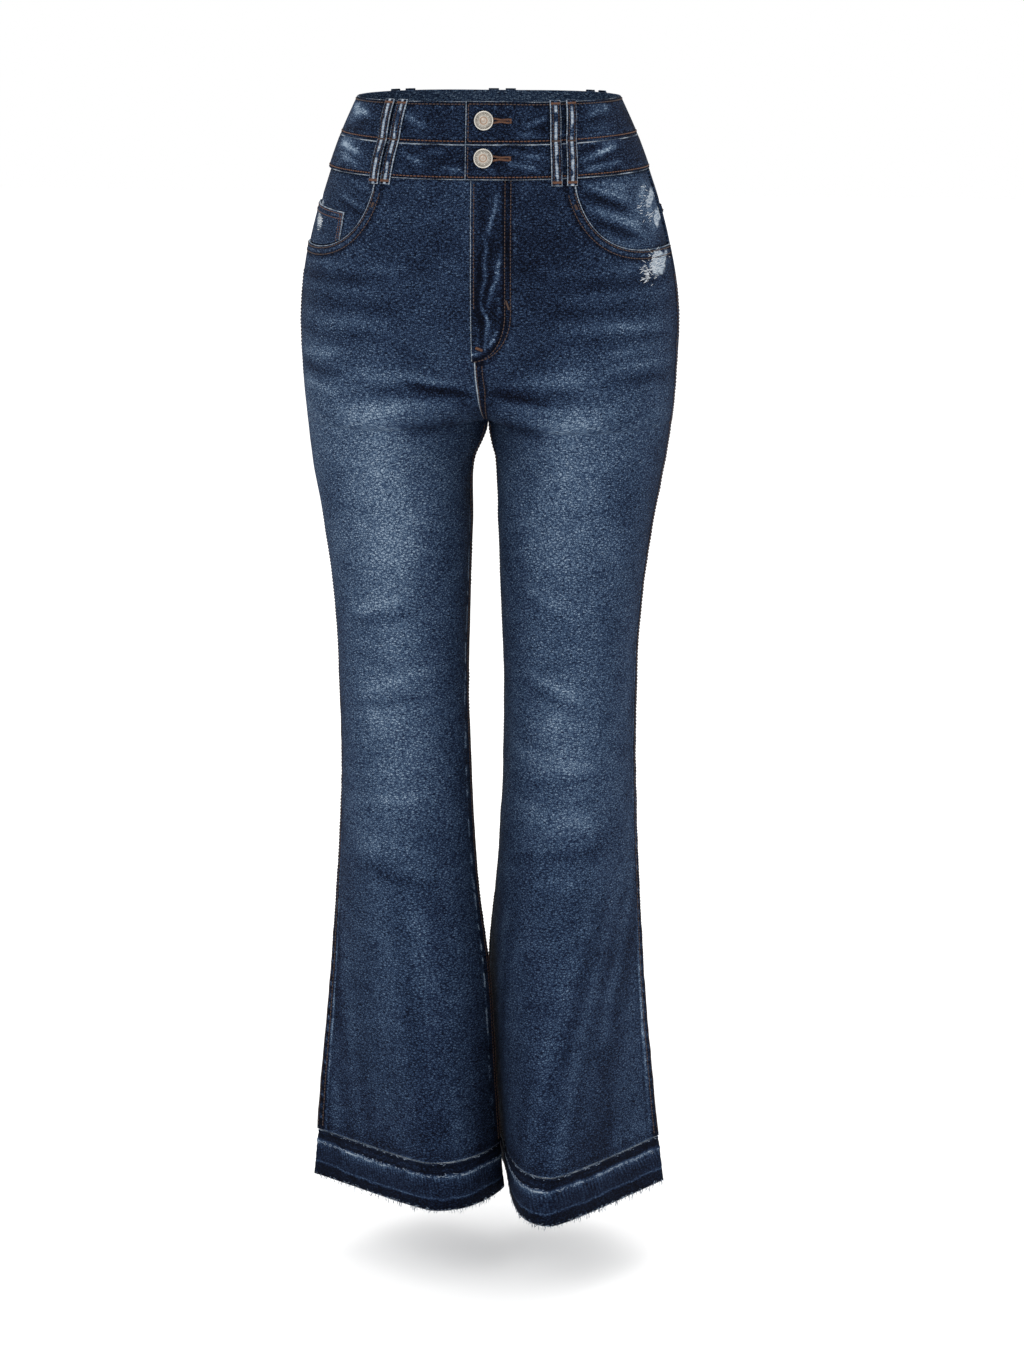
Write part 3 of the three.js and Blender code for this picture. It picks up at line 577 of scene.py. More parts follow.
def streak(x, z, x0, z0, x1, z1, width):
    run = np.array([x1 - x0, z1 - z0], float)
    t = np.clip(((x - x0) * run[0] + (z - z0) * run[1]) / (run @ run), 0, 1)
    away = np.hypot(x - x0 - t * run[0], z - z0 - t * run[1])
    return ridge(away, 0, width) * np.clip(np.sin(math.pi * np.clip(t * 0.9 + 0.06, 0, 1)) * 1.4, 0, 1)


# Both add a table's rows to the wash; the last value of a row is its amount
def withBlobs(fadeAndShade, x, z, table):
    for *place, amount in table:
        fadeAndShade = fadeAndShade + amount * blob(x, z, *place)
    return fadeAndShade


def withStreaks(fadeAndShade, x, z, table, gain=1.0):
    for *place, amount in table:
        fadeAndShade = fadeAndShade + gain * amount * streak(x, z, *place)
    return fadeAndShade


# Smooth value noise from a seeded lattice, bilinear with eased steps
def lattice(seed, a, b):
    cells = 64
    table = np.random.default_rng(seed).random((cells, cells))
    ia, ib = np.floor(a).astype(int), np.floor(b).astype(int)
    fa, fb = smooth(0, 1, a - ia), smooth(0, 1, b - ib)
    low, high = ib % cells, (ib + 1) % cells
    left, right = ia % cells, (ia + 1) % cells
    below = lerp(table[left, low], table[right, low], fa)
    return lerp(below, lerp(table[left, high], table[right, high], fa), fb)


# The outer face's wash, with painted shade in it: darker at the side seam, beside the inner seam, in the
# crease troughs and in the lower leg's folds
def washAndShadeAt(side, face, points, s, length):
    x, z = np.abs(points[..., 0]), points[..., 2]
    fadeAndShade = withBlobs(np.full(z.shape, baseFade), x, z, frontWash if face == "front" else backWash)
    wave = 5 * (lattice(7 if side == "right" else 9, x / 34, z / 60) - 0.5)
    if face == "back":
        fadeAndShade = withStreaks(fadeAndShade, x, z + wave, backStreaks)
    if face == "front":
        fadeAndShade = withBlobs(fadeAndShade, x, z, ownWash[side])
        fadeAndShade = withStreaks(fadeAndShade, x, z + wave, frontWhiskersAndCreaseShade)
        fadeAndShade = withStreaks(fadeAndShade, x, z + wave * 0.6, ownStreaks[side])
    toSide = length - s
    # Painted shade: darker towards the side seam, where the leg turns away from the light, less so on the
    # lower leg
    fadeAndShade = fadeAndShade - (0.13 - 0.11 * smooth(-560, -700, z)) * ridge(toSide, 0, 26)
    # Painted shade between the legs: darker beside the inner seam below the crotch
    fadeAndShade = fadeAndShade - 0.11 * ridge(s, 0, 24) * (z < -300)
    # On the lower leg: soft vertical light and dark bands, painted shade of hanging folds, on a slightly
    # darker tone
    falls = smooth(-640, -820, z) * (0.18 * (lattice(16, s / 17, z / 260) - 0.5) - 0.06)
    upper = 0.05 * (face == "front") * blob(x, z, 40, -150, 60, 90)
    patches = 0.08 * (lattice(3, s / 30, z / 40) - 0.5) + 0.07 * (lattice(4, s / 13, z / 7) - 0.5)
    return fadeAndShade + falls + patches - upper


# Distances from a piece's edges at which extra lines lie, so that the edges can be rounded
edgeLines = (0.0, 0.35, 0.9, 1.8)


# Cloth edge: the outer face drops in a quarter round over the last millimetre
def rolled(distance, radius=0.9):
    t = np.clip(1 - distance / radius, 0, 1)
    return -radius * (1 - np.sqrt(1 - t * t)) * 0.8


# A seam's raised side, where the turned-in edges lie under the cloth, with puckers along it
def felled(distance, along, width, rise, seed):
    pucker = lattice(seed, along / 7.5, distance * 0 + 0.5) - 0.5
    inside = 1 - smooth(width - 1.5, width + 1.0, distance)
    groove = ridge(distance - width, 1.5, 2.2)
    return inside * (rise + 0.5 * pucker) - 0.35 * groove * (1 + pucker)


outerSeam = {"width": 8.5, "rise": 0.75}
innerSeam = {"width": 7.0, "rise": 0.6}


# Distance from (s, z) to a drawn line of points, and the distance along it
def lineDistance(s, z, line):
    s, z = np.broadcast_arrays(s, z)
    best = np.full(s.shape, 1e9)
    along = np.zeros(s.shape)
    runs = np.diff(line, axis=0)
    sizes = np.hypot(runs[:, 0], runs[:, 1])
    starts = np.concatenate([[0], np.cumsum(sizes)])
    for k, (run, size) in enumerate(zip(runs, sizes)):
        if size < 1e-6:
            continue
        t = np.clip(((s - line[k, 0]) * run[0] + (z - line[k, 1]) * run[1]) / size**2, 0, 1)
        away = np.hypot(s - line[k, 0] - t * run[0], z - line[k, 1] - t * run[1])
        closer = away < best
        best = np.where(closer, away, best)
        along = np.where(closer, starts[k] + t * size, along)
    return best, along


# Walks along a line of points in equal steps
def evenly(line, step):
    sizes = np.linalg.norm(np.diff(line, axis=0), axis=1)
    ends = np.concatenate([[0], np.cumsum(sizes)])
    count = max(2, int(round(ends[-1] / step)))
    where = np.linspace(0, ends[-1], count + 1)
    return np.stack([np.interp(where, ends, line[:, k]) for k in range(line.shape[1])], -1)


# A line moved sideways by a distance, to its right-hand side
def beside(line, distance):
    run = np.gradient(line, axis=0)
    run = run / np.maximum(np.linalg.norm(run, axis=1, keepdims=True), 1e-9)
    return line + distance * np.stack([run[:, 1], -run[:, 0]], -1)


# The mouth of a front pocket as a line in (s, z), from the waist to the side seam
def scoopLine(side):
    top = cut["waistSeam"][0]
    start = shareAtX(side, "front", scoop["startX"], top)
    u = start + (1 - start) * np.linspace(0, 1, 90) ** 2.2
    z = scoopZ(side, u)
    z[0] = waistSeamZ("front", u[:1])[0]
    length = lengthAt(side, "front", z)
    return np.stack([u * length, z], -1)


scoopLines = {side: scoopLine(side) for side in legs}


# The legs brush against each other below the knee
def innerFullness(s, z):
    return smooth(-720, -820, z) * ridge(s, 0, 34)


# What the sewing does to the cloth's height: felled seams, puckers, raised pocket mouths and soft crepe
def detailAt(side, face, s, z, length):
    seed = {"right": 20, "left": 30}[side] + (0 if face == "front" else 5)
    toSide = length - s
    height = 0.35 * (lattice(seed, s / 26, z / 15) - 0.5) + 0.5 * (lattice(seed + 1, s / 60, z / 34) - 0.5)
    height = height + 3.2 * innerFullness(s, z)
    crepe = smooth(-500, -800, z)
    height = height + crepe * 0.35 * (lattice(seed + 2, s / 16, z / 5.5) - 0.5)
    if face == "front":
        height = height + felled(toSide, z, outerSeam["width"], outerSeam["rise"], seed + 3)
        below = smooth(-292, -306, z)
        height = height + below * felled(s, z, innerSeam["width"], innerSeam["rise"], seed + 4)
        if side == "left":
            crotch = smooth(-236, -246, z) * (1 - below)
            height = height + crotch * felled(s, z, 7.0, 0.7, seed + 5)
        away = lineDistance(s, z, scoopLines[side])[0]
        height = height + 0.35 * (1 - smooth(8.0, 11.0, away)) * (z < -60)
        height = height - 0.35 * ridge(away, 9.2, 1.4)
    else:
        height = height - 0.3 * ridge(toSide, 0, 5)
        if side == "left":
            height = height + (1 - smooth(-292, -306, z)) * felled(s, z, 8.0, 0.75, seed + 4)
    return height


# Columns of a piece as distances across it, and their shares; both edges keep their close lines
def columnPositions(length, step, extra=()):
    near = np.array(edgeLines)
    mean = float(np.mean(length))
    count = max(2, int(round((mean - 2 * near[-1]) / step)))
    middle = np.unique(np.round(np.concatenate([np.linspace(0, 1, count + 1), np.asarray(extra, float)]), 6))
    span = length[..., None] - 2 * near[-1]
    left = np.broadcast_to(near[:-1], length.shape + (3,))
    return np.concatenate([left, near[-1] + middle * span, length[..., None] - left[..., ::-1]], -1)


def rowDepths(length, step):
    return columnPositions(np.array([length]), step)[0]


# One wall that lies on the body: s and z grids, heights of the outer face over the surface, thickness
def clothPiece(name, side, face, s, z, length, height, thickness, material, values):
    u = s / length
    outer, normal = onBody(side, face, u, z, height)
    inner = outer - normal * thickness
    return finishCloth(name, outer, inner, s, z, material, values)


def finishCloth(name, outer, inner, s, z, material, values):
    clothUv = np.stack([s, z], -1) * 0.001
    piece = wallObject(name + "_look", outer, inner, values, clothUv, material)
    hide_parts(name)
    return piece


def doubled(outerValue, innerValue):
    return np.concatenate([np.ravel(outerValue), np.ravel(np.broadcast_to(innerValue, np.shape(outerValue)))])


# What the denim material reads: the outer face's wash with its painted shade, and its wear, and one wash for
# the unworn inner face
def clothValues(fadeAndShade, wear, inside):
    return {"fadeAndShade": doubled(fadeAndShade, inside), "wear": doubled(wear, 0.0)}


# Heights of a leg panel's rows of points, close together round the crotch
levelRows = np.concatenate([
    np.arange(-153, -286, -3.2),
    [-287.5, -290, -292.2, -294, -295.4, -296.4, -297, -297.5, -298.2, -299.2, -300.6, -302.4, -304.6,
     -307.2, -310],
    np.arange(-313.2, -988, -3.25),
])


# Distances across a piece of a given width, from shares of a nominal width; the edges keep their close lines
def stretchedTo(nominal, nominalWidth, wide):
    edge = edgeLines[-1]
    place = nominal * nominalWidth
    s = edge + (place - edge) / (nominalWidth - 2 * edge) * (wide - 2 * edge)
    s = np.where(place < edge, place, s)
    return np.where(nominalWidth - place < edge, wide - (nominalWidth - place), s)


# Sewn edges reach a little over each other, so that no light shows through a seam
seamOverlap = 0.3


def sewnTo(nominal, nominalWidth, length):
    return stretchedTo(nominal, nominalWidth, length + seamOverlap) - seamOverlap / 2


# Widths in millimetres at which the columns of each kind of piece are spaced
nominalWidths = {"panel": 240.0, "hem": 300.0, "yoke": 210.0, "pocket": 124.0}


def legPanel(side, face):
    name = f"{face}_{side}"
    extra = ()
    if face == "front":
        start = shareAtX(side, "front", scoop["startX"], cut["waistSeam"][0])
        extra = start + np.array([-0.002, 0, 0.0006, 0.002, 0.0045, 0.008, 0.0125, 0.018, 0.025])
    wide = nominalWidths["panel"]
    nominal = columnPositions(np.array([wide]), 3.0, extra)[0] / wide
    if face == "front":
        topLine = np.where(nominal <= start, waistSeamZ("front", nominal), scoopZ(side, nominal))
    else:
        topLine = yokeSeamZ(nominal)
    topLine = topLine - cut["seamGap"]
    near = np.array(edgeLines)[:, None]
    levels = np.linspace(0, 1, 27)[1:-1, None]
    upper = np.concatenate([topLine - near, topLine - near[-1] + levels * (-150 - topLine + near[-1])])
    foot = cut["hemTopZ"] + np.array(edgeLines)[::-1]
    z = np.concatenate([upper, np.concatenate([[-150.0], levelRows, foot])[:, None] + 0 * nominal])
    length = lengthAt(side, face, z)
    s = sewnTo(nominal, wide, length)
    toSeam = np.minimum(s, length - s)
    topGap = np.maximum(topLine - z, 0)
    away = np.full(z.shape, 99.0)
    if face == "front":
        away = lineDistance(s, z, scoopLines[side])[0]
        topGap = np.minimum(topGap, away)
    height = detailAt(side, face, s, z, length) + rolled(np.minimum(toSeam, topGap))
    height = height + rolled(z - cut["hemTopZ"], 1.2)
    points = onBody(side, face, s / length, z)[0]
    fadeAndShade = washAndShadeAt(side, face, points, s, length)
    wear = 0.42 * ridge(toSeam, 0, 1.3) * (z < -300)
    if face == "front":
        wear = np.maximum(wear, 0.9 * ridge(away, 0, 1.1))
        ropeAway = lattice(6, lineDistance(s, z, scoopLines[side])[1] / 3.4, s * 0)
        # Along the pocket mouth: pale roping between the stitch rows, dark lines at the rows, and painted
        # shade in the groove just outside them
        fadeAndShade = fadeAndShade + 0.16 * ridge(away, 5.3, 1.3) * ropeAway - 0.20 * ridge(away, 9.6, 1.8)
        fadeAndShade = fadeAndShade - 0.26 * ridge(away, 2.6, 1.3) - 0.14 * ridge(away, 7.6, 1.2)
        rope = lattice(5, z / 3.6, s * 0)
        toSide = length - s
        low = smooth(-330, -420, z)
        fadeAndShade = fadeAndShade - 0.20 * (1 - smooth(8.0, 9.2, toSide)) * low + 0.22 * ridge(toSide, 4.6, 1.2) * rope
        fadeAndShade = fadeAndShade - 0.14 * ridge(toSide, 7.4, 1.0)
        ladder = np.cos(z * 2 * math.pi / 4.6) * (0.6 + 0.8 * lattice(19, z / 9, s * 0))
        fadeAndShade = fadeAndShade + low * 0.34 * ladder * ridge(toSide, 4.2, 1.9)
        fadeAndShade = fadeAndShade + low * 0.34 * ridge(toSide, 10.0, 1.1) * (0.6 + rope)
        fadeAndShade = fadeAndShade - low * 0.10 * ridge(toSide, 14.0, 2.5)
        puckers = smooth(0.40, 0.70, lattice(11, z / 5.0, s / 9))
        inward = lerp(9.2, 15.0, smooth(-420, -640, z))
        fadeAndShade = fadeAndShade + 0.85 * ridge(s, inward, 1.5) * low * puckers
        fadeAndShade = fadeAndShade - 0.16 * (1 - smooth(5.5, 7.4, s)) * low - 0.10 * ridge(s, 13, 2.0) * low
        if side == "left":
            # Painted shade down the centre seam below the fly, with pale roping on the seam
            centre = (z > -300) * (z < -232)
            fadeAndShade = fadeAndShade - centre * (0.24 * (1 - smooth(8.5, 10.5, s)) - 0.10 * ridge(s, 4.6, 1.2) * rope)
            wear = np.maximum(wear, 0.85 * centre * ridge(s, 0.6, 0.9))
            beyond = lineDistance(s, z, flyLine(31.0))[0] + 99 * (z < -245)
            # Painted shadow on the panel along the fly's edge, with pale puckers further out
            fadeAndShade = fadeAndShade - 0.24 * ridge(beyond, 2.4, 2.6)
            pucker = smooth(0.35, 0.75, lattice(17, z / 6, s / 6))
            fadeAndShade = fadeAndShade + 0.30 * ridge(beyond, 6.8, 1.3) * pucker
            hole = blob(np.abs(points[..., 0]), z, 161, -147, 6.5, 13)
            ragged = 0.35 * (lattice(12, s / 3, z / 4) - 0.5)
            wear = np.maximum(wear, 0.95 * smooth(0.30, 0.62, hole + ragged))
    else:
        fadeAndShade = fadeAndShade + 0.10 * ridge(length - s, 6.0, 3.0) * lattice(13, z / 6, s / 9)
    fold = ridge(z, cut["hemTopZ"], 0.9)
    fadeAndShade = fadeAndShade + 0.45 * fold - 0.10 * ridge(z - cut["hemTopZ"], 5.0, 3.0)
    wear = np.maximum(wear, 0.72 * fold)
    values = clothValues(fadeAndShade, wear, 0.62)
    return clothPiece(name, side, face, s, z, length, height, cut["cloth"], denim, values)


# The let-down hem: the old fold's pale line, lines of broken stitching below it, and a raw frayed edge
hemLines = {"second": 12.5, "third": 33.0, "raw": 45.0}


def hemPiece(side, face):
    top, bottom = cut["hemTopZ"] - cut["seamGap"], cut["hemZ"]
    depths = rowDepths(top - bottom, 1.3)
    wide = nominalWidths["hem"]
    nominal = columnPositions(np.array([wide]), 1.5)[0] / wide
    z = top - depths[:, None] + 0 * nominal
    length = lengthAt(side, face, z)
    s = sewnTo(nominal, wide, length)
    down = top - z
    wave = 1.5 * (lattice(41, s / 9, s * 0) - 0.5) + 3.0 * (lattice(48, s / 40, s * 0) - 0.5)
    ribs = np.sin(s * 2 * math.pi / 3.3 + 4 * lattice(42, s / 11, z / 30))
    ribs = ribs * (0.4 + lattice(47, s / 5, z / 40))
    ribDepth = smooth(10, 15, down) * (1 - 0.6 * smooth(30, 35, down))
    height = 0.18 * ribs * ribDepth + rolled(down, 1.2) + 0.4 * (lattice(43, s / 18, z / 12) - 0.5)
    height = height + rolled(np.minimum(s, length - s)) + 3.2 * innerFullness(s, z)
    second = down - hemLines["second"] + wave
    third = down - hemLines["third"] + wave
    ledge = ridge(second, 0, 1.2)
    height = height + 0.6 * ledge - 0.35 * ridge(third, 0, 0.9) - 0.5 * ridge(down, 3.4, 1.6)
    frayed = smooth(0.25, 0.75, 0.55 * lattice(45, s / 1.5, z / 3) + 0.5 * lattice(46, s / 15, s * 0))
    fadeAndShade = 0.21 + 0.16 * ribs * ribDepth * (1 - 0.6 * smooth(16, 28, down))
    fadeAndShade = fadeAndShade + 0.08 * (lattice(44, s / 6, z / 9) - 0.5)
    # Painted shadow under the panel's folded edge
    fadeAndShade = fadeAndShade - 0.18 * ridge(down, 3.4, 2.0)
    fadeAndShade = fadeAndShade + 0.42 * ridge(second, 0, 2.2) * (0.5 + 0.5 * frayed) - 0.20 * ridge(second, -4, 1.8)
    fadeAndShade = fadeAndShade + 0.16 * ridge(second, 4, 4) * frayed
    fadeAndShade = fadeAndShade - 0.16 * smooth(-1.0, 2.0, third) + 0.36 * ridge(third, 0, 0.9)
    wear = np.maximum(0.60 * ridge(down, 0, 0.8), 0.66 * ridge(second, 0, 1.1) * frayed)
    wear = np.maximum(wear, 0.7 * ridge(down, hemLines["raw"], 0.7) * frayed)
    values = clothValues(fadeAndShade, wear, 0.5)
    return clothPiece(f"hem_{face}_{side}", side, face, s, z, length, height, cut["cloth"], rawDenim, values)


def yokePiece(side):
    wide = nominalWidths["yoke"]
    nominal = columnPositions(np.array([wide]), 2.6)[0] / wide
    top = cut["waistSeam"][0] - cut["seamGap"]
    bottom = yokeSeamZ(nominal)
    near = np.array(edgeLines)[:, None]
    levels = np.linspace(0, 1, 22)[1:-1, None]
    z = np.concatenate([top - near + 0 * nominal, top - near[-1] + levels * (bottom - top + 2 * near[-1]),
                        bottom + near[::-1]])
    length = lengthAt(side, "back", z)
    s = sewnTo(nominal, wide, length)
    over = z - bottom
    detail = detailAt(side, "back", s, z, length) + felled(over, s, 7.5, 0.7, 61)
    height = detail + rolled(np.minimum(np.minimum(s, length - s), np.minimum(over, top - z)))
    points = onBody(side, "back", s / length, z)[0]
    fadeAndShade = washAndShadeAt(side, "back", points, s, length) + 0.10 * ridge(over, 8.5, 1.4) - 0.03
    wear = 0.45 * ridge(over, 0, 1.6)
    values = clothValues(fadeAndShade, wear, 0.62)
    return clothPiece(f"yoke_{side}", side, "back", s, z, length, height, cut["cloth"], denim, values)


# Rubbed-through patches on the pocket facings and beside them: x, z, half width, half height, amount
facingPatches = {
    "right": [(152, -103, 5, 9, 0.8), (146, -118, 4, 5, 0.35)],
    "left": [(153, -88, 2.6, 11, 0.75), (159, -106, 2.8, 10, 0.80), (147, -80, 2.0, 6, 0.5)],
}
facingStreaks = {
    "right": [(118, -72, 96, -80, 3, 0.12), (130, -84, 104, -96, 3, 0.14), (128, -90, 100, -104, 3, -0.12)],
    "left": [(138, -88, 98, -72, 3, 0.20), (140, -98, 100, -82, 3, -0.16), (146, -112, 102, -92, 4, 0.20),
             (146, -122, 108, -104, 3, -0.14), (148, -132, 112, -120, 4, 0.16),
             (136, -78, 108, -70, 4, 0.16)],
}
facingUnder = cut["cloth"] + 0.6


def facingPiece(side):
    start = shareAtX(side, "front", 80.0, cut["waistSeam"][0])
    width = (1 - start) * 206
    nominal = columnPositions(np.array([width]), 1.8)[0] / width
    share = start + nominal * (1 - start)
    top = waistSeamZ("front", share) - cut["seamGap"]
    rows = np.linspace(0, 1, 46)[:, None]
    z = lerp(top, -148.0, rows)
    length = lengthAt(side, "front", z)
    s = share * length
    s[:, -1] = length[:, -1] - 0.15
    height = -facingUnder + 0.25 * (lattice(71, s / 14, z / 7) - 0.5) + 0.7 * rolled(length - s)
    points = onBody(side, "front", share, z)[0]
    fadeAndShade = washAndShadeAt(side, "front", points, s, length) - 0.02
    away = lineDistance(s, z, scoopLines[side])[0]
    # Painted shadow under the front panel's edge along the pocket mouth
    fadeAndShade = fadeAndShade - 0.10 * ridge(away, 0, 3.0)
    wear = np.zeros(z.shape)
    ragged = 0.5 * (lattice(14, s / 2.2, z / 5) - 0.5) + 0.3 * (lattice(15, s / 6, z / 12) - 0.5)
    for x0, z0, w, h, amount in facingPatches[side]:
        patch = blob(np.abs(points[..., 0]), z, x0, z0, w, h)
        wear = np.maximum(wear, amount * smooth(0.40, 0.70, patch + ragged))
        fadeAndShade = fadeAndShade + 0.22 * patch
    if side == "left":
        pale = 0.27 * blob(np.abs(points[..., 0]), z, 152, -98, 18, 28)
        fadeAndShade = fadeAndShade + pale * (0.5 + lattice(18, s / 9, z / 6))
    fadeAndShade = withStreaks(fadeAndShade, np.abs(points[..., 0]), z, facingStreaks[side], 1.5)
    values = clothValues(fadeAndShade, wear, 0.6)
    return clothPiece(f"pocket_facing_{side}", side, "front", s, z, length, height, cut["pocketCloth"], denim,
                      values)


# The coin pocket: its inner edge's place, the heights of its slanting top, its distance from the side seam
coin = {"innerX": 122.0, "innerZ": -101.0, "outerZ": -95.5, "fromSeam": 8.0, "tuck": 1.2, "depth": 36.0}
coinPatch = (151, -112, 4.5, 9)


def coinSpan():
    start = shareAtX("right", "front", coin["innerX"], coin["innerZ"])
    return start, 1 - coin["fromSeam"] / lengthAt("right", "front", coin["outerZ"])


def coinPiece():
    start, end = coinSpan()
    width = (end - start) * 205
    nominal = columnPositions(np.array([width]), 1.3)[0] / width
    share = start + nominal * (end - start)
    top = lerp(coin["innerZ"], coin["outerZ"], nominal)
    bottom = scoopZ("right", share) + coin["tuck"]
    deep = rowDepths(coin["depth"], 1.4)[:, None] / coin["depth"]
    z = lerp(top, bottom, deep)
    length = lengthAt("right", "front", z)
    s = share * length
    down = top - z
    sideGap = np.minimum(s - s[:, :1], s[:, -1:] - s)
    height = 1.5 - facingUnder + rolled(np.minimum(down, sideGap), 0.7)
    height = height + 0.3 * (1 - smooth(8, 10, down)) + 0.2 * (lattice(73, s / 9, z / 7) - 0.5)
    points = onBody("right", "front", share, z)[0]
    fadeAndShade = washAndShadeAt("right", "front", points, s, length) + 0.03
    wear = np.maximum(0.95 * ridge(down, 0, 1.0), 0.7 * ridge(sideGap, 0, 0.8))
    wear = np.maximum(wear, 0.9 * blob(np.abs(points[..., 0]), z, *coinPatch))
    values = clothValues(fadeAndShade, wear, 0.6)
    return clothPiece("coin_pocket", "right", "front", s, z, length, height, cut["pocketCloth"], denim,
                      values)


fly = {"curveTopZ": -188.0, "curveEndZ": -232.0}


def flyBottom(share):
    return lerp(fly["curveTopZ"], fly["curveEndZ"], np.sqrt(np.clip(1 - share**2, 0, 1)))


# Streaks of the fly's wash: s, z to s, z, width, amount
flyStreaks = [
    (13, -112, 9, -186, 1.7, 0.42), (27, -130, 14, -188, 2.2, 0.42), (20, -80, 16, -120, 1.8, 0.42),
    (9, -176, 17, -214, 1.8, 0.34), (11, -184, 13, -230, 1.6, 0.42), (4, -198, 6, -222, 1.4, 0.30),
    (18, -120, 13, -186, 2.2, -0.16), (6, -130, 5, -210, 2.4, -0.16),
]


def flyPiece():
    lap, width = -2.0, 31.0
    across = np.concatenate([[lap, lap + 0.35, lap + 0.9, lap + 1.8], np.linspace(1.4, width - 1.6, 22),
                             [width - 0.9, width - 0.4, width]])
    share = np.clip(across / width, 0, 1)
    top = cut["waistSeam"][1] - cut["seamGap"]
    deep = rowDepths(150.0, 2.2)[:, None] / 150.0
    z = lerp(top, flyBottom(share), deep)
    s = across + 0 * z
    rim = lineDistance(s, z, flyLine(width))[0]
    lapEdge = s - lap
    height = 1.5 + 0.5 * felled(lapEdge, z, 6.0, 0.3, 75) + rolled(lapEdge, 1.1)
    height = height - 2.1 * (1 - smooth(0, 3.4, rim)) * (s > 4)
    height = height - 0.4 * ridge(rim, 6.5, 2.5)
    height = height + 0.45 * (lattice(76, s / 8, z / 13) - 0.5)
    points, normals = aroundWaist("left", s, z, height)
    inner = aroundWaist("left", s, z, height - cut["pocketCloth"])[0]
    length = lengthAt("left", "front", z)
    fadeAndShade = washAndShadeAt("left", "front", points, np.maximum(s, 0), length)
    fadeAndShade = fadeAndShade - 0.12 * ridge(s, 9, 5) * smooth(-240, -200, z) - 0.05
    bent = s + 4.0 * (lattice(79, z / 13, z * 0) - 0.5)
    fadeAndShade = withStreaks(fadeAndShade, bent, z, flyStreaks)
    # Painted shade where the fly's edge sinks under the front panel; the lower fly is also darker
    fadeAndShade = fadeAndShade - 0.26 * (1 - smooth(3.2, 4.8, rim)) - 0.10 * smooth(-110, -190, z)
    inside = smooth(0.25, 0.70, lattice(77, z / 5, s / 5)) * smooth(-150, -200, z)
    fadeAndShade = fadeAndShade + 0.50 * ridge(rim, 6.8, 1.5) * inside
    wear = 0.8 * ridge(lapEdge, 0, 1.0)
    wear = np.maximum(wear, 0.5 * ridge(rim, 4.0, 1.2) * (z < -196) * lattice(78, s / 3, z / 3))
    values = clothValues(fadeAndShade, wear, 0.6)
    return finishCloth("fly", points, inner, s, z, denim, values)


# The fly's curved stitching line in (s, z), from the waist down to the centre seam
def flyLine(width):
    turn = np.linspace(0, math.pi / 2, 40)
    curve = np.stack([np.cos(turn) * width, lerp(fly["curveTopZ"], fly["curveEndZ"], np.sin(turn))], -1)
    top = np.array([[width, cut["waistSeam"][0] - 3.0]])
    return np.concatenate([top, curve])


# A surface point from the distance round the waist: below zero on the other front, past the side on the back
def aroundWaist(side, s, z, offset):
    s, z, offset = np.broadcast_arrays(s, z, np.asarray(offset, float))
    points, normals = np.zeros(s.shape + (3,)), np.zeros(s.shape + (3,))
    frontLength = lengthAt(side, "front", z)
    parts = [(s < 0, otherSide[side], "front"), ((s >= 0) & (s <= frontLength), side, "front"),
             (s > frontLength, side, "back")]
    for chosen, own, face in parts:
        if not chosen.any():
            continue
        length = lengthAt(own, face, z[chosen])
        place = np.abs(s[chosen]) if face == "front" else length - (s[chosen] - frontLength[chosen])
        share = np.clip(place / length, 0, 1)
        points[chosen], normals[chosen] = onBody(own, face, share, z[chosen], offset[chosen])
    return points, normals


# Pale rubs on the waistbands: distance from the centre front, height, half width, half height, amount
bandRubs = {
    "right": [(132, -14, 26, 9, 0.36), (138, -42, 24, 14, 0.36), (60, -22, 20, 8, 0.12),
              (80, -58, 26, 6, 0.12)],
    "left": [(120, -36, 26, 9, 0.26), (118, -6, 16, 5, 0.16), (60, -52, 26, 6, 0.12),
             (40, -14, 10, 10, 0.10)],
}
bandStreaks = {
    "right": [(150, -8, 98, -14, 3, 0.20), (150, -16, 100, -22, 2.5, -0.12), (150, -40, 104, -50, 3, 0.24),
              (146, -50, 108, -60, 3, 0.16), (66, -10, 40, -24, 3, 0.14), (70, -44, 44, -56, 3, 0.16),
              (50, -46, 24, -44, 3, 0.12), (30, -58, 8, -60, 3, 0.14), (150, -30, 110, -27, 3, -0.12)],
    "left": [(98, -52, 140, -40, 2.6, 0.32), (100, -60, 146, -54, 2.6, 0.22), (96, -44, 120, -38, 3, -0.14),
             (96, -14, 140, -8, 3, 0.18), (104, -24, 146, -22, 3, 0.12), (28, -54, 62, -60, 2.6, 0.18),
             (30, -44, 66, -48, 2.6, 0.16), (44, -22, 68, -14, 2.6, 0.18), (36, -28, 64, -30, 3, 0.12),
             (-4, -44, 20, -62, 3, 0.12)],
}
buttonHeights = {"upper": -17.0, "lower": -50.0}
flap = {"lap": -7.0, "underlap": -24.0, "rampFrom": 26.0, "rampTo": 46.0, "edgeRadius": 1.1}


def bandRaise(side, s):
    if side == "right":
        return np.zeros(np.shape(s))
    return (1 - smooth(flap["rampFrom"], flap["rampTo"], s)) * (cut["bandThickness"] + cut["seamGap"])


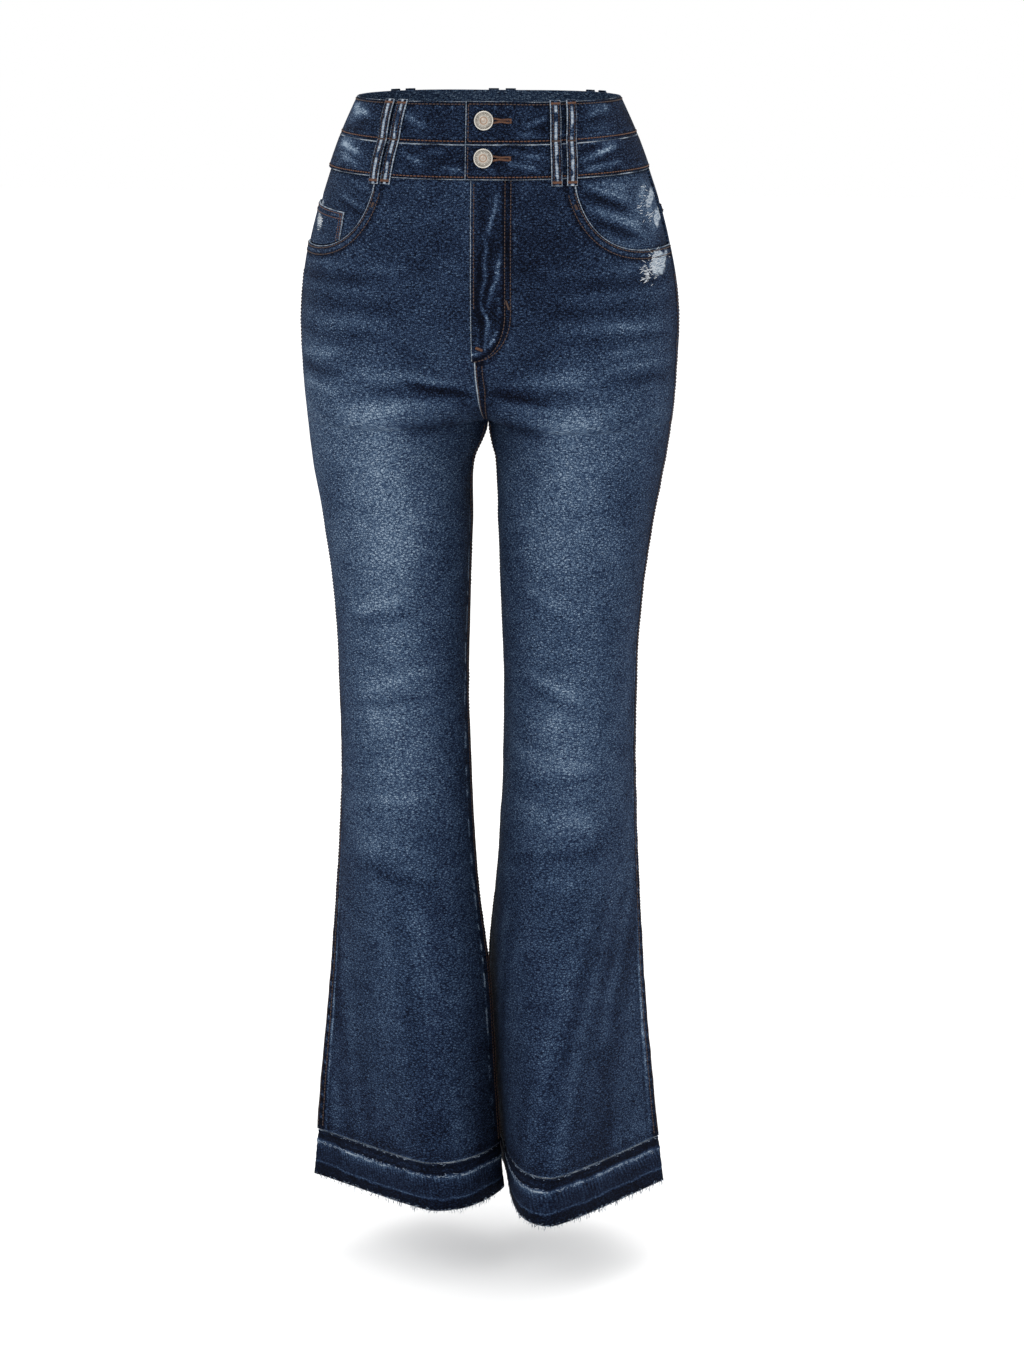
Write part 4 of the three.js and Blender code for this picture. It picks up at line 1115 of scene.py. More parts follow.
def bandPiece(side, upper):
    name = f"waistband_{'upper' if upper else 'lower'}_{side}"
    start = flap["lap"] if side == "left" else flap["underlap"]
    round0 = 350.0 if upper else 385.0
    nominal = columnPositions(np.array([round0 - start]), 2.0)[0]
    face = np.where(nominal + start < 190, 0, 1)
    share = np.clip((nominal + start) / 196, 0, 1)
    seam = np.where(face == 0, bandSeamZ("front", share), bandSeamZ("back", share))
    low = np.where(face == 0, waistSeamZ("front", share), waistSeamZ("back", share))
    top = np.zeros_like(seam) if upper else seam - cut["seamGap"] / 2
    bottom = seam + cut["seamGap"] / 2 if upper else low
    deep = rowDepths(34.0, 1.4)[:, None] / 34.0
    z = lerp(top, bottom, deep)
    whole = sum(lengthAt(side, f, z) for f in ("front", "back"))
    s = start + stretchedTo(nominal / (round0 - start), round0 - start, whole - start)
    toTop, toBottom = top - z, z - bottom
    ends = np.minimum(s - start, whole - s)
    edge = np.minimum(np.minimum(toTop, toBottom), ends)
    toRim = np.minimum(toTop, toBottom)
    pucker = 0.22 * (lattice(81 + upper, s / 7, z / 30) - 0.5) * (1 - smooth(5, 9, toRim))
    height = cut["bandProud"] + bandRaise(side, s) + rolled(edge, flap["edgeRadius"]) + pucker
    height = height + 0.3 * (lattice(84, s / 24, z / 14) - 0.5)
    height = height - 0.25 * ridge(toRim, 2.4, 0.8)
    points, _ = aroundWaist(side, s, z, height)
    inner, _ = aroundWaist(side, s, z, bandRaise(side, s) + cut["bandProud"] - cut["bandThickness"])
    fadeAndShade = np.full(z.shape, 0.22 if side == "right" else 0.18) + 0.12 * (lattice(86, s / 15, z / 9) - 0.5)
    fadeAndShade = fadeAndShade - 0.08 * blob(s, z, 42, -34, 60, 60)
    for s0, z0, w, h, amount in bandRubs[side]:
        rubbed = blob(s, z, s0, z0, w, h) * (0.4 + 1.2 * lattice(87, s / 22 + z / 5, z / 6))
        fadeAndShade = fadeAndShade + 1.25 * amount * rubbed
    for s0, z0, s1, z1, w, amount in bandStreaks[side]:
        fadeAndShade = fadeAndShade + 1.7 * amount * streak(s, z, s0, z0, s1, z1, w) * (0.5 + lattice(90, s / 7, z / 4))
    toSewing = toRim if upper else toBottom
    rope = lattice(88, s / 3.3, z * 0)
    # Painted shade in the groove along the stitching, with pale roping beside it
    fadeAndShade = fadeAndShade - 0.20 * ridge(toSewing, 2.4, 1.5) + 0.18 * ridge(toSewing, 5.4, 1.5) * rope
    edgeNoise = 0.55 + 0.6 * lattice(89, s / 19, z * 0)
    wear = (0.62 if upper else 0.85) * ridge(toTop, 0, 0.9 if upper else 1.3) * edgeNoise
    wear = np.maximum(wear, (0.3 if upper else 0.75) * ridge(toBottom, 0, 0.9) * edgeNoise)
    wear = np.maximum(wear, 0.8 * ridge(s, start, 1.0))
    if side == "left":
        holes = sum(blob(s, z, 18, buttonHeights[k], 14, 4.5) for k in buttonHeights)
        fadeAndShade = fadeAndShade - 0.16 * holes
    values = clothValues(fadeAndShade, wear, 0.5)
    return finishCloth(name, points, inner, s, z, denim, values)


backPocket = {"innerS": 40.0, "width": 128.0, "taper": 7.0, "top": -150.0, "sideZ": -266.0, "pointZ": -283.0,
              "lift": 1.3, "depth": 125.0, "sewnDepth": 120.0}


# A back pocket's outline in (s, z): square top corners, tapering sides and a shallow point
def backPocketPlace(side, across, deep):
    girth = lengthAt(side, "back", backPocket["top"])
    bottom = lerp(backPocket["pointZ"], backPocket["sideZ"], np.abs(2 * across - 1))
    z = lerp(backPocket["top"], bottom, deep)
    down = (backPocket["top"] - z) / (backPocket["top"] - backPocket["sideZ"])
    taper = backPocket["taper"] * np.clip(down, 0, 1.15)
    low = backPocket["innerS"] + taper
    high = backPocket["innerS"] + backPocket["width"] - taper
    share = lerp(low, high, across) / girth
    return share, z


def backPocketPiece(side):
    wide, long = nominalWidths["pocket"], backPocket["depth"]
    nominal = columnPositions(np.array([wide]), 1.9)[0] / wide
    across = nominal[None, :]
    deep = rowDepths(long, 1.9)[:, None] / long
    share, z = backPocketPlace(side, across, deep)
    length = lengthAt(side, "back", z)
    s = share * length
    down = backPocket["top"] - z
    toEdge = np.minimum(np.minimum(nominal, 1 - nominal)[None, :] * wide, (1 - deep) * long)
    hem = (1 - smooth(14, 16, down))
    height = backPocket["lift"] + cut["pocketCloth"] + 0.3 * hem + rolled(np.minimum(toEdge, down), 0.9)
    height = height + 0.35 * (lattice(91, s / 16, z / 11) - 0.5) + detailAt(side, "back", s, z, length) * 0.6
    height = height - 0.25 * ridge(toEdge, 7.6, 1.0)
    points = onBody(side, "back", share, z)[0]
    fadeAndShade = washAndShadeAt(side, "back", points, s, length) + 0.04
    fadeAndShade = fadeAndShade + 0.07 * ridge(toEdge, 3.6, 2.0) + 0.10 * blob(across, deep, 0.5, 0.55, 0.3, 0.35)
    wear = np.maximum(0.8 * ridge(down, 0, 1.3), 0.6 * ridge(toEdge, 0, 1.1))
    values = clothValues(fadeAndShade, wear, 0.6)
    return clothPiece(f"back_pocket_{side}", side, "back", s, z, length, height, cut["pocketCloth"], denim,
                      values)


# Belt loops: narrow doubled straps, bowed between their tacks
loopPlaces = {
    ("right", "front"): [(64, 80), (76, 91)], ("left", "front"): [(71, 75), (84, 88)],
    ("right", "back"): [(84, 92), (96, 105)], ("left", "back"): [(84, 92), (96, 105)],
}
loop = {"width": 9.5, "thickness": 1.6, "topZ": 1.0, "bottomZ": -74.0, "bow": 1.8}
loopCentres = {}


def loopHeight(t):
    tack = (cut["bandSeam"][0] - loop["topZ"]) / (loop["bottomZ"] - loop["topZ"])
    part = np.where(t < tack, t / tack, (t - tack) / (1 - tack))
    return loop["bow"] * np.sin(math.pi * part)


def loopPiece(name, side, face, topX, bottomX):
    t = rowDepths(75.0, 1.3) / 75.0
    z = lerp(loop["topZ"], loop["bottomZ"], t)
    centre = np.array([shareAtX(side, face, lerp(topX, bottomX, a), b) for a, b in zip(t, z)])
    length = lengthAt(side, face, z)
    centre = centre * length
    loopCentres[name] = (side, face, centre, z, length)
    across = columnPositions(np.array([loop["width"]]), 0.7)[0]
    s = centre[:, None] + across[None, :] - loop["width"] / 2
    zz = z[:, None] + 0 * s
    wide = length[:, None] + 0 * s
    rim = np.minimum(across, loop["width"] - across)[None, :] + 0 * s
    ends = np.minimum(t, 1 - t)[:, None] * 75
    base = cut["bandProud"] + cut["seamGap"] + loopHeight(t)[:, None]
    height = base + loop["thickness"] + rolled(np.minimum(rim, ends), 0.8)
    height = height - 0.28 * ridge(rim, 2.2, 0.5) + 0.12 * (lattice(95, s / 3, zz / 3) - 0.5)
    share = s / wide
    spotted = lattice(96, s / 4, zz / 7)
    fadeAndShade = 0.26 + 0.46 * smooth(2.6, 3.4, rim) * spotted
    # Painted shade in the stitched grooves
    fadeAndShade = fadeAndShade - 0.22 * ridge(rim, 2.2, 0.9)
    wear = ridge(rim, 0, 0.75) * (0.45 + 0.75 * lattice(97, s / 9, zz / 4))
    wear = np.maximum(wear, 0.8 * smooth(2.8, 3.8, rim) * smooth(0.28, 0.55, spotted))
    wear = np.maximum(wear, 0.7 * ridge(ends, 0, 0.6) + 0 * s)
    values = clothValues(fadeAndShade, wear, 0.4)
    return clothPiece(name, side, face, s, zz, wide, height, loop["thickness"], denim, values)


for side in legs:
    for face in ("front", "back"):
        legPanel(side, face)
        hemPiece(side, face)
    yokePiece(side)
    facingPiece(side)
    backPocketPiece(side)
    bandPiece(side, True)
    bandPiece(side, False)
    for face in ("front", "back"):
        for k, (topX, bottomX) in enumerate(loopPlaces[(side, face)]):
            loopPiece(f"loop_{face}_{side}_{k + 1}", side, face, topX, bottomX)
coinPiece()
flyPiece()
loopPiece("loop_centre_1", "right", "back", 8, 8)
loopPiece("loop_centre_2", "left", "back", 8, 8)
print("stage: cloth ready")


# Bars laid at many places as one object: places, along, out and sizes are arrays
def scattered(name, places, along, out, sizes, material):
    template, faces = bar
    out = unit(out)
    along = unit(along - out * (along * out).sum(-1, keepdims=True))
    side = np.cross(out, along)
    local = template[None] * sizes[:, None, :]
    points = (places[:, None] + local[..., 0:1] * along[:, None] + local[..., 1:2] * side[:, None]
              + local[..., 2:3] * out[:, None])
    count = len(template)
    quads = (faces[None] + count * np.arange(len(places))[:, None, None]).reshape(-1, faces.shape[1])
    meshObject(name, points.reshape(-1, 3) * 0.001, quads, material)


# A round bar along x from -0.5 to 0.5 whose ends dip: rings of points, closed by collapsed end rings
def barTemplate(sides=6, dip=0.9):
    along = np.array([-0.5, -0.44, -0.22, 0.22, 0.44, 0.5])
    wide = np.array([0.12, 0.75, 1.0, 1.0, 0.75, 0.12])
    turn = np.arange(sides) * 2 * math.pi / sides
    lift = dip * (0.25 - along**2) * 4 - dip * 0.45
    points = np.stack([np.repeat(along, sides), np.outer(wide, np.cos(turn)).ravel(),
                       (np.outer(wide, np.sin(turn)) + lift[:, None]).ravel()], -1)
    rings = len(along)
    k, j = np.meshgrid(np.arange(rings - 1), np.arange(sides), indexing="ij")
    a, b = (k * sides + j).ravel(), (k * sides + (j + 1) % sides).ravel()
    quads = [np.stack([a, a + sides, b + sides, b], -1)]
    ends = [points[:sides].mean(0), points[-sides:].mean(0)]
    points = np.concatenate([points, ends])
    first, last = rings * sides, rings * sides + 1
    half = np.arange(0, sides, 2)
    base = (rings - 1) * sides
    one, two = (half + 1) % sides, (half + 2) % sides
    quads.append(np.stack([first + 0 * half, half, one, two], -1))
    quads.append(np.stack([last + 0 * half, base + two, base + one, base + half], -1))
    quads = np.concatenate(quads)
    corner = points[quads]
    volume = (np.cross(corner[:, 0] - corner[:, 2], corner[:, 1] - corner[:, 3]) * corner.mean(1)).sum()
    return points, quads[:, ::-1] if volume < 0 else quads


bar = barTemplate()
surfaces = {}


def surfaceOf(name):
    if name not in surfaces:
        mesh = bpy.data.objects[name + "_look"].data
        surfaces[name] = mathutils.bvhtree.BVHTree.FromPolygons([v.co[:] for v in mesh.vertices],
                                                                [p.vertices[:] for p in mesh.polygons])
    return surfaces[name]


# Drops points onto a piece from outside; returns the points that land, with normals, and which they are
def dropped(name, points, normals, above=9.0):
    tree = surfaceOf(name)
    landed, square, kept = [], [], []
    for k, (point, normal) in enumerate(zip(points, unit(normals))):
        hit = tree.ray_cast(((point + above * normal) * 0.001).tolist(), (-normal).tolist(), 0.02)
        if hit[0] is not None:
            landed.append(np.array(hit[0]) * 1000)
            square.append(normal)
            kept.append(k)
    return np.array(landed), np.array(square), np.array(kept, int)


stitch = {"pitch": 3.3, "length": 2.8, "radius": 0.5}
rows = {"navy": [], "copper": []}


def sewingPoints(side, face, s, z):
    if face == "waist":
        return aroundWaist(side, s, z, 0.0)
    return onBody(side, face, np.clip(s / lengthAt(side, face, z), 0, 1), z)


# A row of stitches along a line of (s, z) points on a piece; s as on the body, or round the waist
def sew(name, side, face, line, colour="navy", pitch=None, radius=None):
    pitch = pitch or stitch["pitch"]
    radius = radius or stitch["radius"]
    walked = evenly(np.asarray(line, float), pitch)
    if len(walked) < 2:
        return
    s, z = walked[:, 0], walked[:, 1]
    points, normals = sewingPoints(side, face, s, z)
    centre = (points[:-1] + points[1:]) / 2
    along = points[1:] - points[:-1]
    out = (normals[:-1] + normals[1:]) / 2
    landed, square, kept = dropped(name, centre, out)
    if not len(kept):
        return
    long = np.linalg.norm(along[kept], axis=1) * stitch["length"] / stitch["pitch"]
    sizes = np.stack([long, np.full(len(kept), radius), np.full(len(kept), radius)], -1)
    rows[colour].append((landed, along[kept], square, sizes))


# A bar tack: close stitches across a short line from one (s, z) to another
def barTack(name, side, face, start, end, wide=2.2, colour="copper"):
    start, end = np.array(start, float), np.array(end, float)
    run = end - start
    size = np.hypot(*run)
    count = max(4, int(size / 0.42))
    t = (np.arange(count) + 0.5) / count
    centre = start + t[:, None] * run
    across = np.array([-run[1], run[0]]) / size
    line = centre - 0.5 * across * wide, centre + 0.5 * across * wide
    found = []
    for part in line:
        found.append(sewingPoints(side, face, part[:, 0], part[:, 1]))
    middle = (found[0][0] + found[1][0]) / 2
    landed, square, kept = dropped(name, middle, (found[0][1] + found[1][1]) / 2)
    if not len(kept):
        return
    along = (found[1][0] - found[0][0])[kept]
    jitter = 1 + 0.16 * np.sin(np.arange(len(kept)) * 2.4)
    sizes = np.stack([wide * jitter, np.full(len(kept), 0.3), np.full(len(kept), 0.42)], -1)
    rows[colour].append((landed + 0.15 * square, along, square, sizes))


def sewLeg(side):
    panel = f"front_{side}"
    z = np.arange(-160, -990, -2.0)
    length = lengthAt(side, "front", z)
    low = z < -300
    for inset in (1.9, 7.4):
        sew(panel, side, "front", np.stack([length - inset, z], -1))
    for inset in (1.9, 6.1):
        sew(panel, side, "front", np.stack([np.full(low.sum(), inset), z[low]], -1))
    for inset in (2.4, 8.2):
        sew(panel, side, "front", beside(scoopLines[side], inset)[4:])
    for inset in (2.0, 6.9):
        u = np.linspace(0.01, 0.99, 80)
        line = yokeSeamZ(u) + inset
        length = lengthAt(side, "back", line)
        sew(f"yoke_{side}", side, "back", np.stack([u * length, line], -1))
    u = np.linspace(0, 1, 60)
    for inset in (2.0, 7.4):
        wide, long = nominalWidths["pocket"], backPocket["sewnDepth"]
        across = np.concatenate([0 * u + inset / wide, inset / wide + (1 - 2 * inset / wide) * u,
                                 0 * u + 1 - inset / wide])
        deep = np.concatenate([u * (1 - inset / long), 0 * u + 1 - inset / long,
                               (1 - u) * (1 - inset / long)])
        share, z = backPocketPlace(side, across, deep)
        length = lengthAt(side, "back", z)
        sew(f"back_pocket_{side}", side, "back", np.stack([share * length, z], -1))
    share, z = backPocketPlace(side, 0.02 + 0.96 * u, 0 * u + 14.5 / backPocket["depth"])
    length = lengthAt(side, "back", z)
    sew(f"back_pocket_{side}", side, "back", np.stack([share * length, z], -1))
    for across in (0.03, 0.97):
        share, z = backPocketPlace(side, np.array([across, across]), np.array([0.01, 0.075]))
        length = lengthAt(side, "back", z)
        place = share * length
        barTack(f"back_pocket_{side}", side, "back", (place[0], z[0]), (place[1], z[1]))


def sewBands():
    for side in legs:
        start = flap["lap"] if side == "left" else flap["underlap"] + 3
        for upper in (True, False):
            name = f"waistband_{'upper' if upper else 'lower'}_{side}"
            whole = sum(lengthAt(side, f, -20.0 if upper else -50.0) for f in ("front", "back"))
            s = np.arange(start + 2.6, whole - 1.5, 2.0)
            onFront = s < whole * 0.49
            share = np.clip(s / (whole * 0.49), 0, 1)
            seam = np.where(onFront, bandSeamZ("front", share), cut["bandSeam"][0])
            low = np.where(onFront, waistSeamZ("front", share), cut["waistSeam"][0])
            lines = (np.full(s.shape, -2.6), seam + 2.4) if upper else (seam - 2.4, low + 2.4)
            for k, line in enumerate(lines):
                if k == 0 and not upper:
                    continue
                sew(name, side, "waist", np.stack([s, line], -1), "copper" if k == 1 else "navy")
            if side == "left":
                edge = np.linspace(lines[0][0], lines[1][0], 20)
                sew(name, side, "waist", np.stack([np.full(20, start + 2.6), edge], -1))


def sewLoops():
    for name, (side, face, centre, z, length) in loopCentres.items():
        for inset in (-2.55, 2.55):
            inside = (z < -1) & (z > -72)
            line = np.stack([centre[inside] + inset, z[inside]], -1)
            sew(name, side, face, line, "navy", 2.9, 0.36)
        k = np.argmin(np.abs(z + 71.2))
        barTack(name, side, face, (centre[k] - 4.2, z[k]), (centre[k] + 4.2, z[k]), 2.4)
        k = np.argmin(np.abs(z + 2.4))
        barTack(name, side, face, (centre[k] - 4.2, z[k]), (centre[k] + 4.2, z[k]), 2.0)
        k = np.argmin(np.abs(z + 34))
        barTack(name, side, face, (centre[k] - 4.0, z[k]), (centre[k] + 4.0, z[k]), 1.6, "navy")


def sewFly():
    for width in (29.2, 34.4):
        sew("fly" if width < 30 else "front_left", "left", "front", flyLine(width))
    for inset in (2.0, 7.2):
        z = np.arange(-236, -294, -2.0)
        sew("front_left", "left", "front", np.stack([np.full(z.shape, inset), z], -1))
        z = np.arange(-70, -290, -2.0)
        for name in ("yoke_left", "back_left"):
            part = z[z > -136] if name == "yoke_left" else z[z < -141]
            sew(name, "left", "back", np.stack([np.full(part.shape, inset), part], -1))
    z = np.arange(-72, -186, -2.0)
    sew("fly", "left", "front", np.stack([np.full(z.shape, 1.2), z], -1), "navy")
    barTack("fly", "left", "front", (2.5, -219), (8.5, -221.5), 2.6)
    barTack("front_left", "left", "front", (30, -176), (33.2, -184), 2.2, "navy")
    for side in legs:
        line = scoopLines[side]
        inner = beside(line, 5.0)
        barTack(f"front_{side}", side, "front", inner[12] - (0, 1), inner[16], 2.6, "navy")


def sewCoin():
    start, end = coinSpan()
    for drop in (2.0, 6.6):
        u = np.linspace(start + 0.004, end - 0.004, 30)
        z = lerp(coin["innerZ"], coin["outerZ"], np.linspace(0, 1, 30)) - drop
        length = lengthAt("right", "front", z)
        sew("coin_pocket", "right", "front", np.stack([u * length, z], -1), "copper", 2.6, 0.36)
    for inset in (1.6, 4.6):
        z = np.linspace(-103, -133, 20)
        length = lengthAt("right", "front", z)
        s = start * length + inset
        sew("coin_pocket", "right", "front", np.stack([s, z], -1), "copper", 2.6, 0.36)


# Worked buttonholes: purl stitches round a keyhole, its eye under the button and its slit away from the lap
buttonX = 9.6


def sewButtonhole(which):
    height = buttonHeights[which]
    length = lengthAt("left", "front", height)
    s0 = shareAtX("left", "front", buttonX, height) * length
    reach = 24.0
    t = np.linspace(0, 1, 46)
    half = 1.0 + 0.9 * (1 - t) ** 2 + 0.25 * np.sin(9 * t)
    upper = np.stack([s0 + 6 + t * (reach - 6), height + half], -1)
    lower = np.stack([s0 + 6 + t * (reach - 6), height - half + 0.2 * np.sin(5 * t)], -1)
    name = f"waistband_{which}_left"
    for line in (upper, lower):
        for k in range(len(line)):
            s, z = line[k]
            wobble = 0.35 * math.sin(k * 1.9)
            barRow(name, (s, z - 0.95 + wobble * 0.3), (s + wobble * 0.4, z + 0.95 + wobble * 0.3))
    for k in range(9):
        z = height - 1.8 + 3.6 * k / 8
        barRow(name, (s0 + reach - 0.9, z), (s0 + reach + 1.0, z))


def barRow(name, start, end):
    ends = np.array([start, end])
    points, normals = aroundWaist("left", ends[:, 0], ends[:, 1], 0.0)
    landed, square, kept = dropped(name, points.mean(0)[None], normals.mean(0)[None])
    if len(kept):
        along = (points[1] - points[0])[None]
        long = np.linalg.norm(along)
        sizes = np.array([[long, 0.24, 0.34]])
        rows["copper"].append((landed + 0.1 * square, along, square, sizes))


for side in legs:
    sewLeg(side)
sewBands()
sewLoops()
sewFly()
sewCoin()
sewButtonhole("upper")
sewButtonhole("lower")
threads = {"navy": navyThread, "copper": copperThread}
for colour, material in threads.items():
    parts = [np.concatenate(group) for group in zip(*rows[colour])]
    x, z = parts[0][:, 0], parts[0][:, 2]
    low = z <= -300
    for place, chosen in (("top", ~low), ("right", low & (x < 0)), ("left", low & (x >= 0))):
        if chosen.any():
            scattered(f"stitches_{colour}_{place}", *(group[chosen] for group in parts), material)
    print("stage: stitches", colour, len(parts[0]))


# Frayed yarns: short tapering bars that hang from the raw hem and lie on the old folds
fringe = {"spacing": 1.05, "length": 3.6, "radius": 0.22}


def hemYarns():
    rng = np.random.default_rng(12)
    found = []
    for side in legs:
        for face in ("front", "back"):
            whole = lengthAt(side, face, cut["hemZ"])
            count = int(whole / fringe["spacing"])
            s = (np.arange(count) + rng.random(count)) / count * (whole - 2) + 1
            z = np.full(count, cut["hemZ"] + 0.4)
            points, normals = onBody(side, face, s / whole, z, -0.2 - 1.0 * rng.random(count))
            lean = rng.normal(0, 0.45, (count, 3)) + np.array([0, 0, -1.0])
            lean = lean + 0.25 * normals * rng.normal(0, 1, (count, 1))
            long = fringe["length"] * (0.35 + rng.random(count) ** 2 * 1.6)
            places = points + unit(lean) * long[:, None] * 0.42
            wide = fringe["radius"] * (0.7 + 0.6 * rng.random(count))
            found.append((places, lean, normals, np.stack([long, wide, wide], -1)))
    parts = [np.concatenate(group) for group in zip(*found)]
    pale = np.arange(len(parts[0])) % 3 == 0
    scattered("hem_yarns", *(part[~pale] for part in parts), darkYarn)
    scattered("hem_pale_yarns", *(part[pale] for part in parts), frayThread)
    found = []
    for side in legs:
        for face in ("front", "back"):
            name = f"hem_{face}_{side}"
            for down, density, spread in ((1.2, 0.18, 0.6), (hemLines["second"], 0.6, 0.8), (44.2, 0.4, 0.7)):
                level = cut["hemTopZ"] - down
                whole = lengthAt(side, face, level)
                count = int(whole * density)
                s = rng.random(count) * (whole - 3) + 1.5
                z = level + rng.normal(0, spread, count)
                points, normals = onBody(side, face, s / whole, z)
                landed, square, kept = dropped(name, points, normals)
                ahead = onBody(side, face, (s + 1) / whole, z)[0] - points
                tilt = rng.normal(0, 0.5, count)[:, None]
                along = unit(ahead) + tilt * np.array([0, 0, 1.0])
                long = 1.0 + 3.2 * rng.random(count) ** 2
                wide = 0.13 + 0.14 * rng.random(count)
                sizes = np.stack([long, wide, wide], -1)[kept]
                found.append((landed + 0.05 * square, along[kept], square, sizes))
    parts = [np.concatenate(group) for group in zip(*found)]
    scattered("fold_yarns", *parts, foldThread)


# Loose white yarns over the rubbed-through patches: piece, side, x, z, half width, half height, count
patchYarns = [
    ("coin_pocket", "right", 150, -112, 4.5, 9, 34), ("pocket_facing_left", "left", 149, -90, 6, 14, 16),
    ("pocket_facing_left", "left", 154, -106, 4, 8, 12), ("front_left", "left", 158, -146, 7, 13, 90),
    ("front_left", "left", 152, -156, 4, 8, 40),
]


def rubbedYarns():
    rng = np.random.default_rng(31)
    found = []
    for name, side, x0, z0, w, h, count in patchYarns:
        x = x0 + rng.normal(0, 0.42, count) * w
        z = z0 + rng.normal(0, 0.42, count) * h
        share = np.array([shareAtX(side, "front", a, b) for a, b in zip(x, z)])
        points, normals = onBody(side, "front", share, z)
        landed, square, kept = dropped(name, points, normals)
        if not len(kept):
            continue
        ahead = onBody(side, "front", np.minimum(share + 0.005, 1), z)[0] - points
        along = unit(ahead) + rng.normal(0, 0.28, count)[:, None] * np.array([0, 0, 1.0])
        long = 2.0 + 4.5 * rng.random(count)
        wide = 0.16 + 0.12 * rng.random(count)
        found.append((landed + 0.12 * square, along[kept], square, np.stack([long, wide, wide], -1)[kept]))
    parts = [np.concatenate(group) for group in zip(*found)]
    scattered("rubbed_yarns", *parts, frayThread)


hemYarns()
rubbedYarns()
print("stage: yarns ready")


# Shank buttons: a turned disc with a raised rim, a ring of beads, a wreath of bars and a domed centre
buttonShape = {"radius": 8.8, "beads": 26, "marks": 12}
# The face from the rim inwards: share of the radius, height over the underside
buttonFace = [
    (0.90, 0), (0.98, 0.35), (1, 0.8), (0.985, 1.25), (0.95, 1.6), (0.91, 1.72), (0.875, 1.62),
    (0.85, 1.25), (0.80, 1.12), (0.50, 1.12), (0.47, 1.2), (0.45, 1.42), (0.42, 1.48), (0.39, 1.4),
    (0.37, 1.2), (0.30, 1.25), (0.24, 1.6), (0.12, 1.85),
]


def turnedProfile(profile, sides):
    turn = np.arange(sides) * 2 * math.pi / sides
    radius, height = np.array(profile, float).T
    points = np.stack([np.outer(radius, np.cos(turn)), np.outer(radius, np.sin(turn)),
                       np.repeat(height[:, None], sides, 1)], -1).reshape(-1, 3)
    k, j = np.meshgrid(np.arange(len(profile) - 1), np.arange(sides), indexing="ij")
    a, b = (k * sides + j).ravel(), (k * sides + (j + 1) % sides).ravel()
    return points, np.stack([a, b, b + sides, a + sides], -1)


def domed(width, height, sides=10, levels=4):
    angle = np.linspace(0, math.pi / 2, levels)
    profile = [(0.02, -0.5 * height)] + [(width * math.cos(a) + 0.02, height * math.sin(a)) for a in angle]
    return turnedProfile(profile, sides)


def addButton(which):
    height = buttonHeights[which]
    share = shareAtX("left", "front", buttonX, height)
    origin = basePoint("left", "front", np.array([share]), np.array([height]))[0][0]
    normal = unit(onBody("left", "front", np.array([share]), np.array([height]))[1])[0]
    bottom, under = 1.1, 3.8
    r = buttonShape["radius"]
    profile = [(0.02, bottom), (2.4, bottom), (2.4, under)]
    profile += [(r * share, under + rise) for share, rise in buttonFace] + [(0.02, under + 1.92)]
    points, quads = turnedProfile(profile, 72)
    parts = [(points, quads)]
    bead = domed(0.36, 0.34)
    for k in range(buttonShape["beads"]):
        turn = 2 * math.pi * k / buttonShape["beads"]
        place = np.array([r * 0.77 * math.cos(turn), r * 0.77 * math.sin(turn), under + 1.1])
        parts.append((bead[0] + place, bead[1]))
    mark = domed(0.5, 0.36)
    for k in range(buttonShape["marks"]):
        turn = 2 * math.pi * (k + 0.5) / buttonShape["marks"]
        shape = mark[0] * np.array([1.9 if k % 2 else 1.1, 0.75, 1])
        c, d = math.cos(turn), math.sin(turn)
        spin = np.array([[c, -d, 0], [d, c, 0], [0, 0, 1]])
        place = np.array([r * 0.62 * c, r * 0.62 * d, under + 1.1])
        parts.append((shape @ spin.T + place, mark[1]))
    shift, allPoints, allQuads, grime, warmth = 0, [], [], [], []
    for k, (points, quads) in enumerate(parts):
        allPoints.append(points)
        allQuads.append(quads + shift)
        shift += len(points)
        out = np.hypot(points[:, 0], points[:, 1]) / r
        ring = np.maximum(ridge(out, 0.82, 0.05), 0.85 * ridge(out, 0.62, 0.16))
        hub = ridge(out, 0.34, 0.05) + 0.35 * (out < 0.28)
        grime.append(np.clip(ring + hub, 0, 1) if k == 0 else np.full(len(points), 0.02))
        warmth.append(np.clip(0.8 * ridge(out, 0.36, 0.07) + 0.45 * (out < 0.2), 0, 1) * (k == 0))
    points, quads = np.concatenate(allPoints), np.concatenate(allQuads)
    across = unit(np.cross(np.array([0, 0, 1.0]), normal))
    up = np.cross(normal, across)
    placed = origin + points[:, 0:1] * across + points[:, 1:2] * up + points[:, 2:3] * normal
    piece = meshObject(f"button_{which}_look", placed * 0.001, quads, nickel,
                       {"grime": np.concatenate(grime), "copper": np.concatenate(warmth)})
    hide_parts(f"button_{which}")


addButton("upper")
addButton("lower")
print("stage: buttons ready")


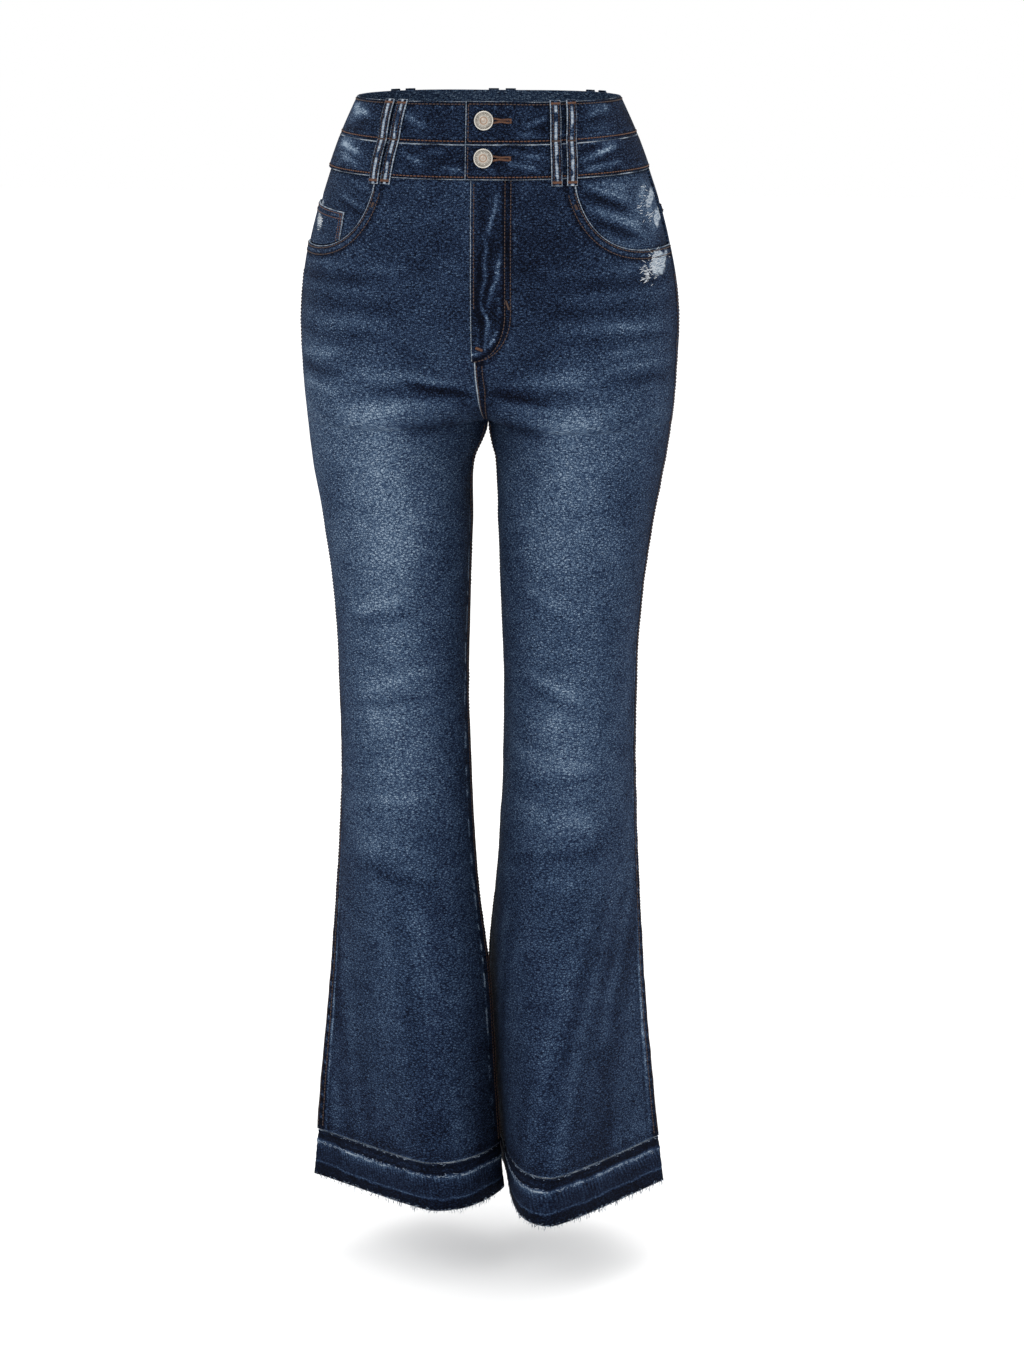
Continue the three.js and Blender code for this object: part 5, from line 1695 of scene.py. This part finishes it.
# Camera, light and ground. The garment is turned a little to the camera, as in the picture
def addCamera():
    data = bpy.data.cameras.new("camera")
    data.sensor_width = 36
    data.sensor_fit = "AUTO"
    data.lens = 102.1
    data.clip_end = 50
    data.dof.use_dof = False
    camera = bpy.data.objects.new("camera", data)
    camera.location = (0.4965, -3.5152, 0.210)
    camera.rotation_euler = (math.radians(78), 0, math.radians(7.7))
    bpy.context.scene.collection.objects.link(camera)
    bpy.context.scene.camera = camera


def addArea(name, place, target, size, power, colour=(1, 1, 1)):
    data = bpy.data.lights.new(name, "AREA")
    data.shape = "RECTANGLE"
    data.size, data.size_y = size
    data.energy = power
    data.color = colour
    lamp = bpy.data.objects.new(name, data)
    lamp.location = place
    aim = mathutils.Vector(target) - mathutils.Vector(place)
    lamp.rotation_euler = aim.to_track_quat("-Z", "Y").to_euler()
    bpy.context.scene.collection.objects.link(lamp)


def addGround():
    tree = Tree("studio_white")
    tree.shader.inputs["Base Color"].default_value = (0.94, 0.94, 0.94, 1)
    tree.shader.inputs["Roughness"].default_value = 0.9
    tree.shader.inputs["Specular IOR Level"].default_value = 0.0
    tree.shader.inputs["Emission Color"].default_value = (1, 1, 1, 1)
    tree.shader.inputs["Emission Strength"].default_value = 0.25
    mesh = bpy.data.meshes.new("floor")
    reach = 12.0
    level = cut["hemZ"] * 0.001 - 0.078
    mesh.from_pydata([(-reach, -reach, level), (reach, -reach, level), (reach, reach, level),
                      (-reach, reach, level)], [], [(0, 1, 2, 3)])
    mesh.materials.append(tree.material)
    floor = bpy.data.objects.new("floor", mesh)
    bpy.context.scene.collection.objects.link(floor)


addCamera()
addArea("key", (-1.6, -3.2, 2.3), (0, 0, -0.45), (2.2, 2.2), 34)
addArea("fill", (2.6, -2.6, 1.0), (0, 0, -0.5), (2.4, 2.4), 14)
addArea("top", (0.2, 1.2, 3.0), (0, 0, -0.5), (2.5, 2.5), 22)
addGround()
world = bpy.data.worlds.new("studio")
world.use_nodes = True
world.node_tree.nodes["Background"].inputs["Color"].default_value = (1, 1, 1, 1)
world.node_tree.nodes["Background"].inputs["Strength"].default_value = 1.0
bpy.context.scene.world = world
bpy.context.scene.view_settings.view_transform = "Standard"
print("stage: camera and light ready")
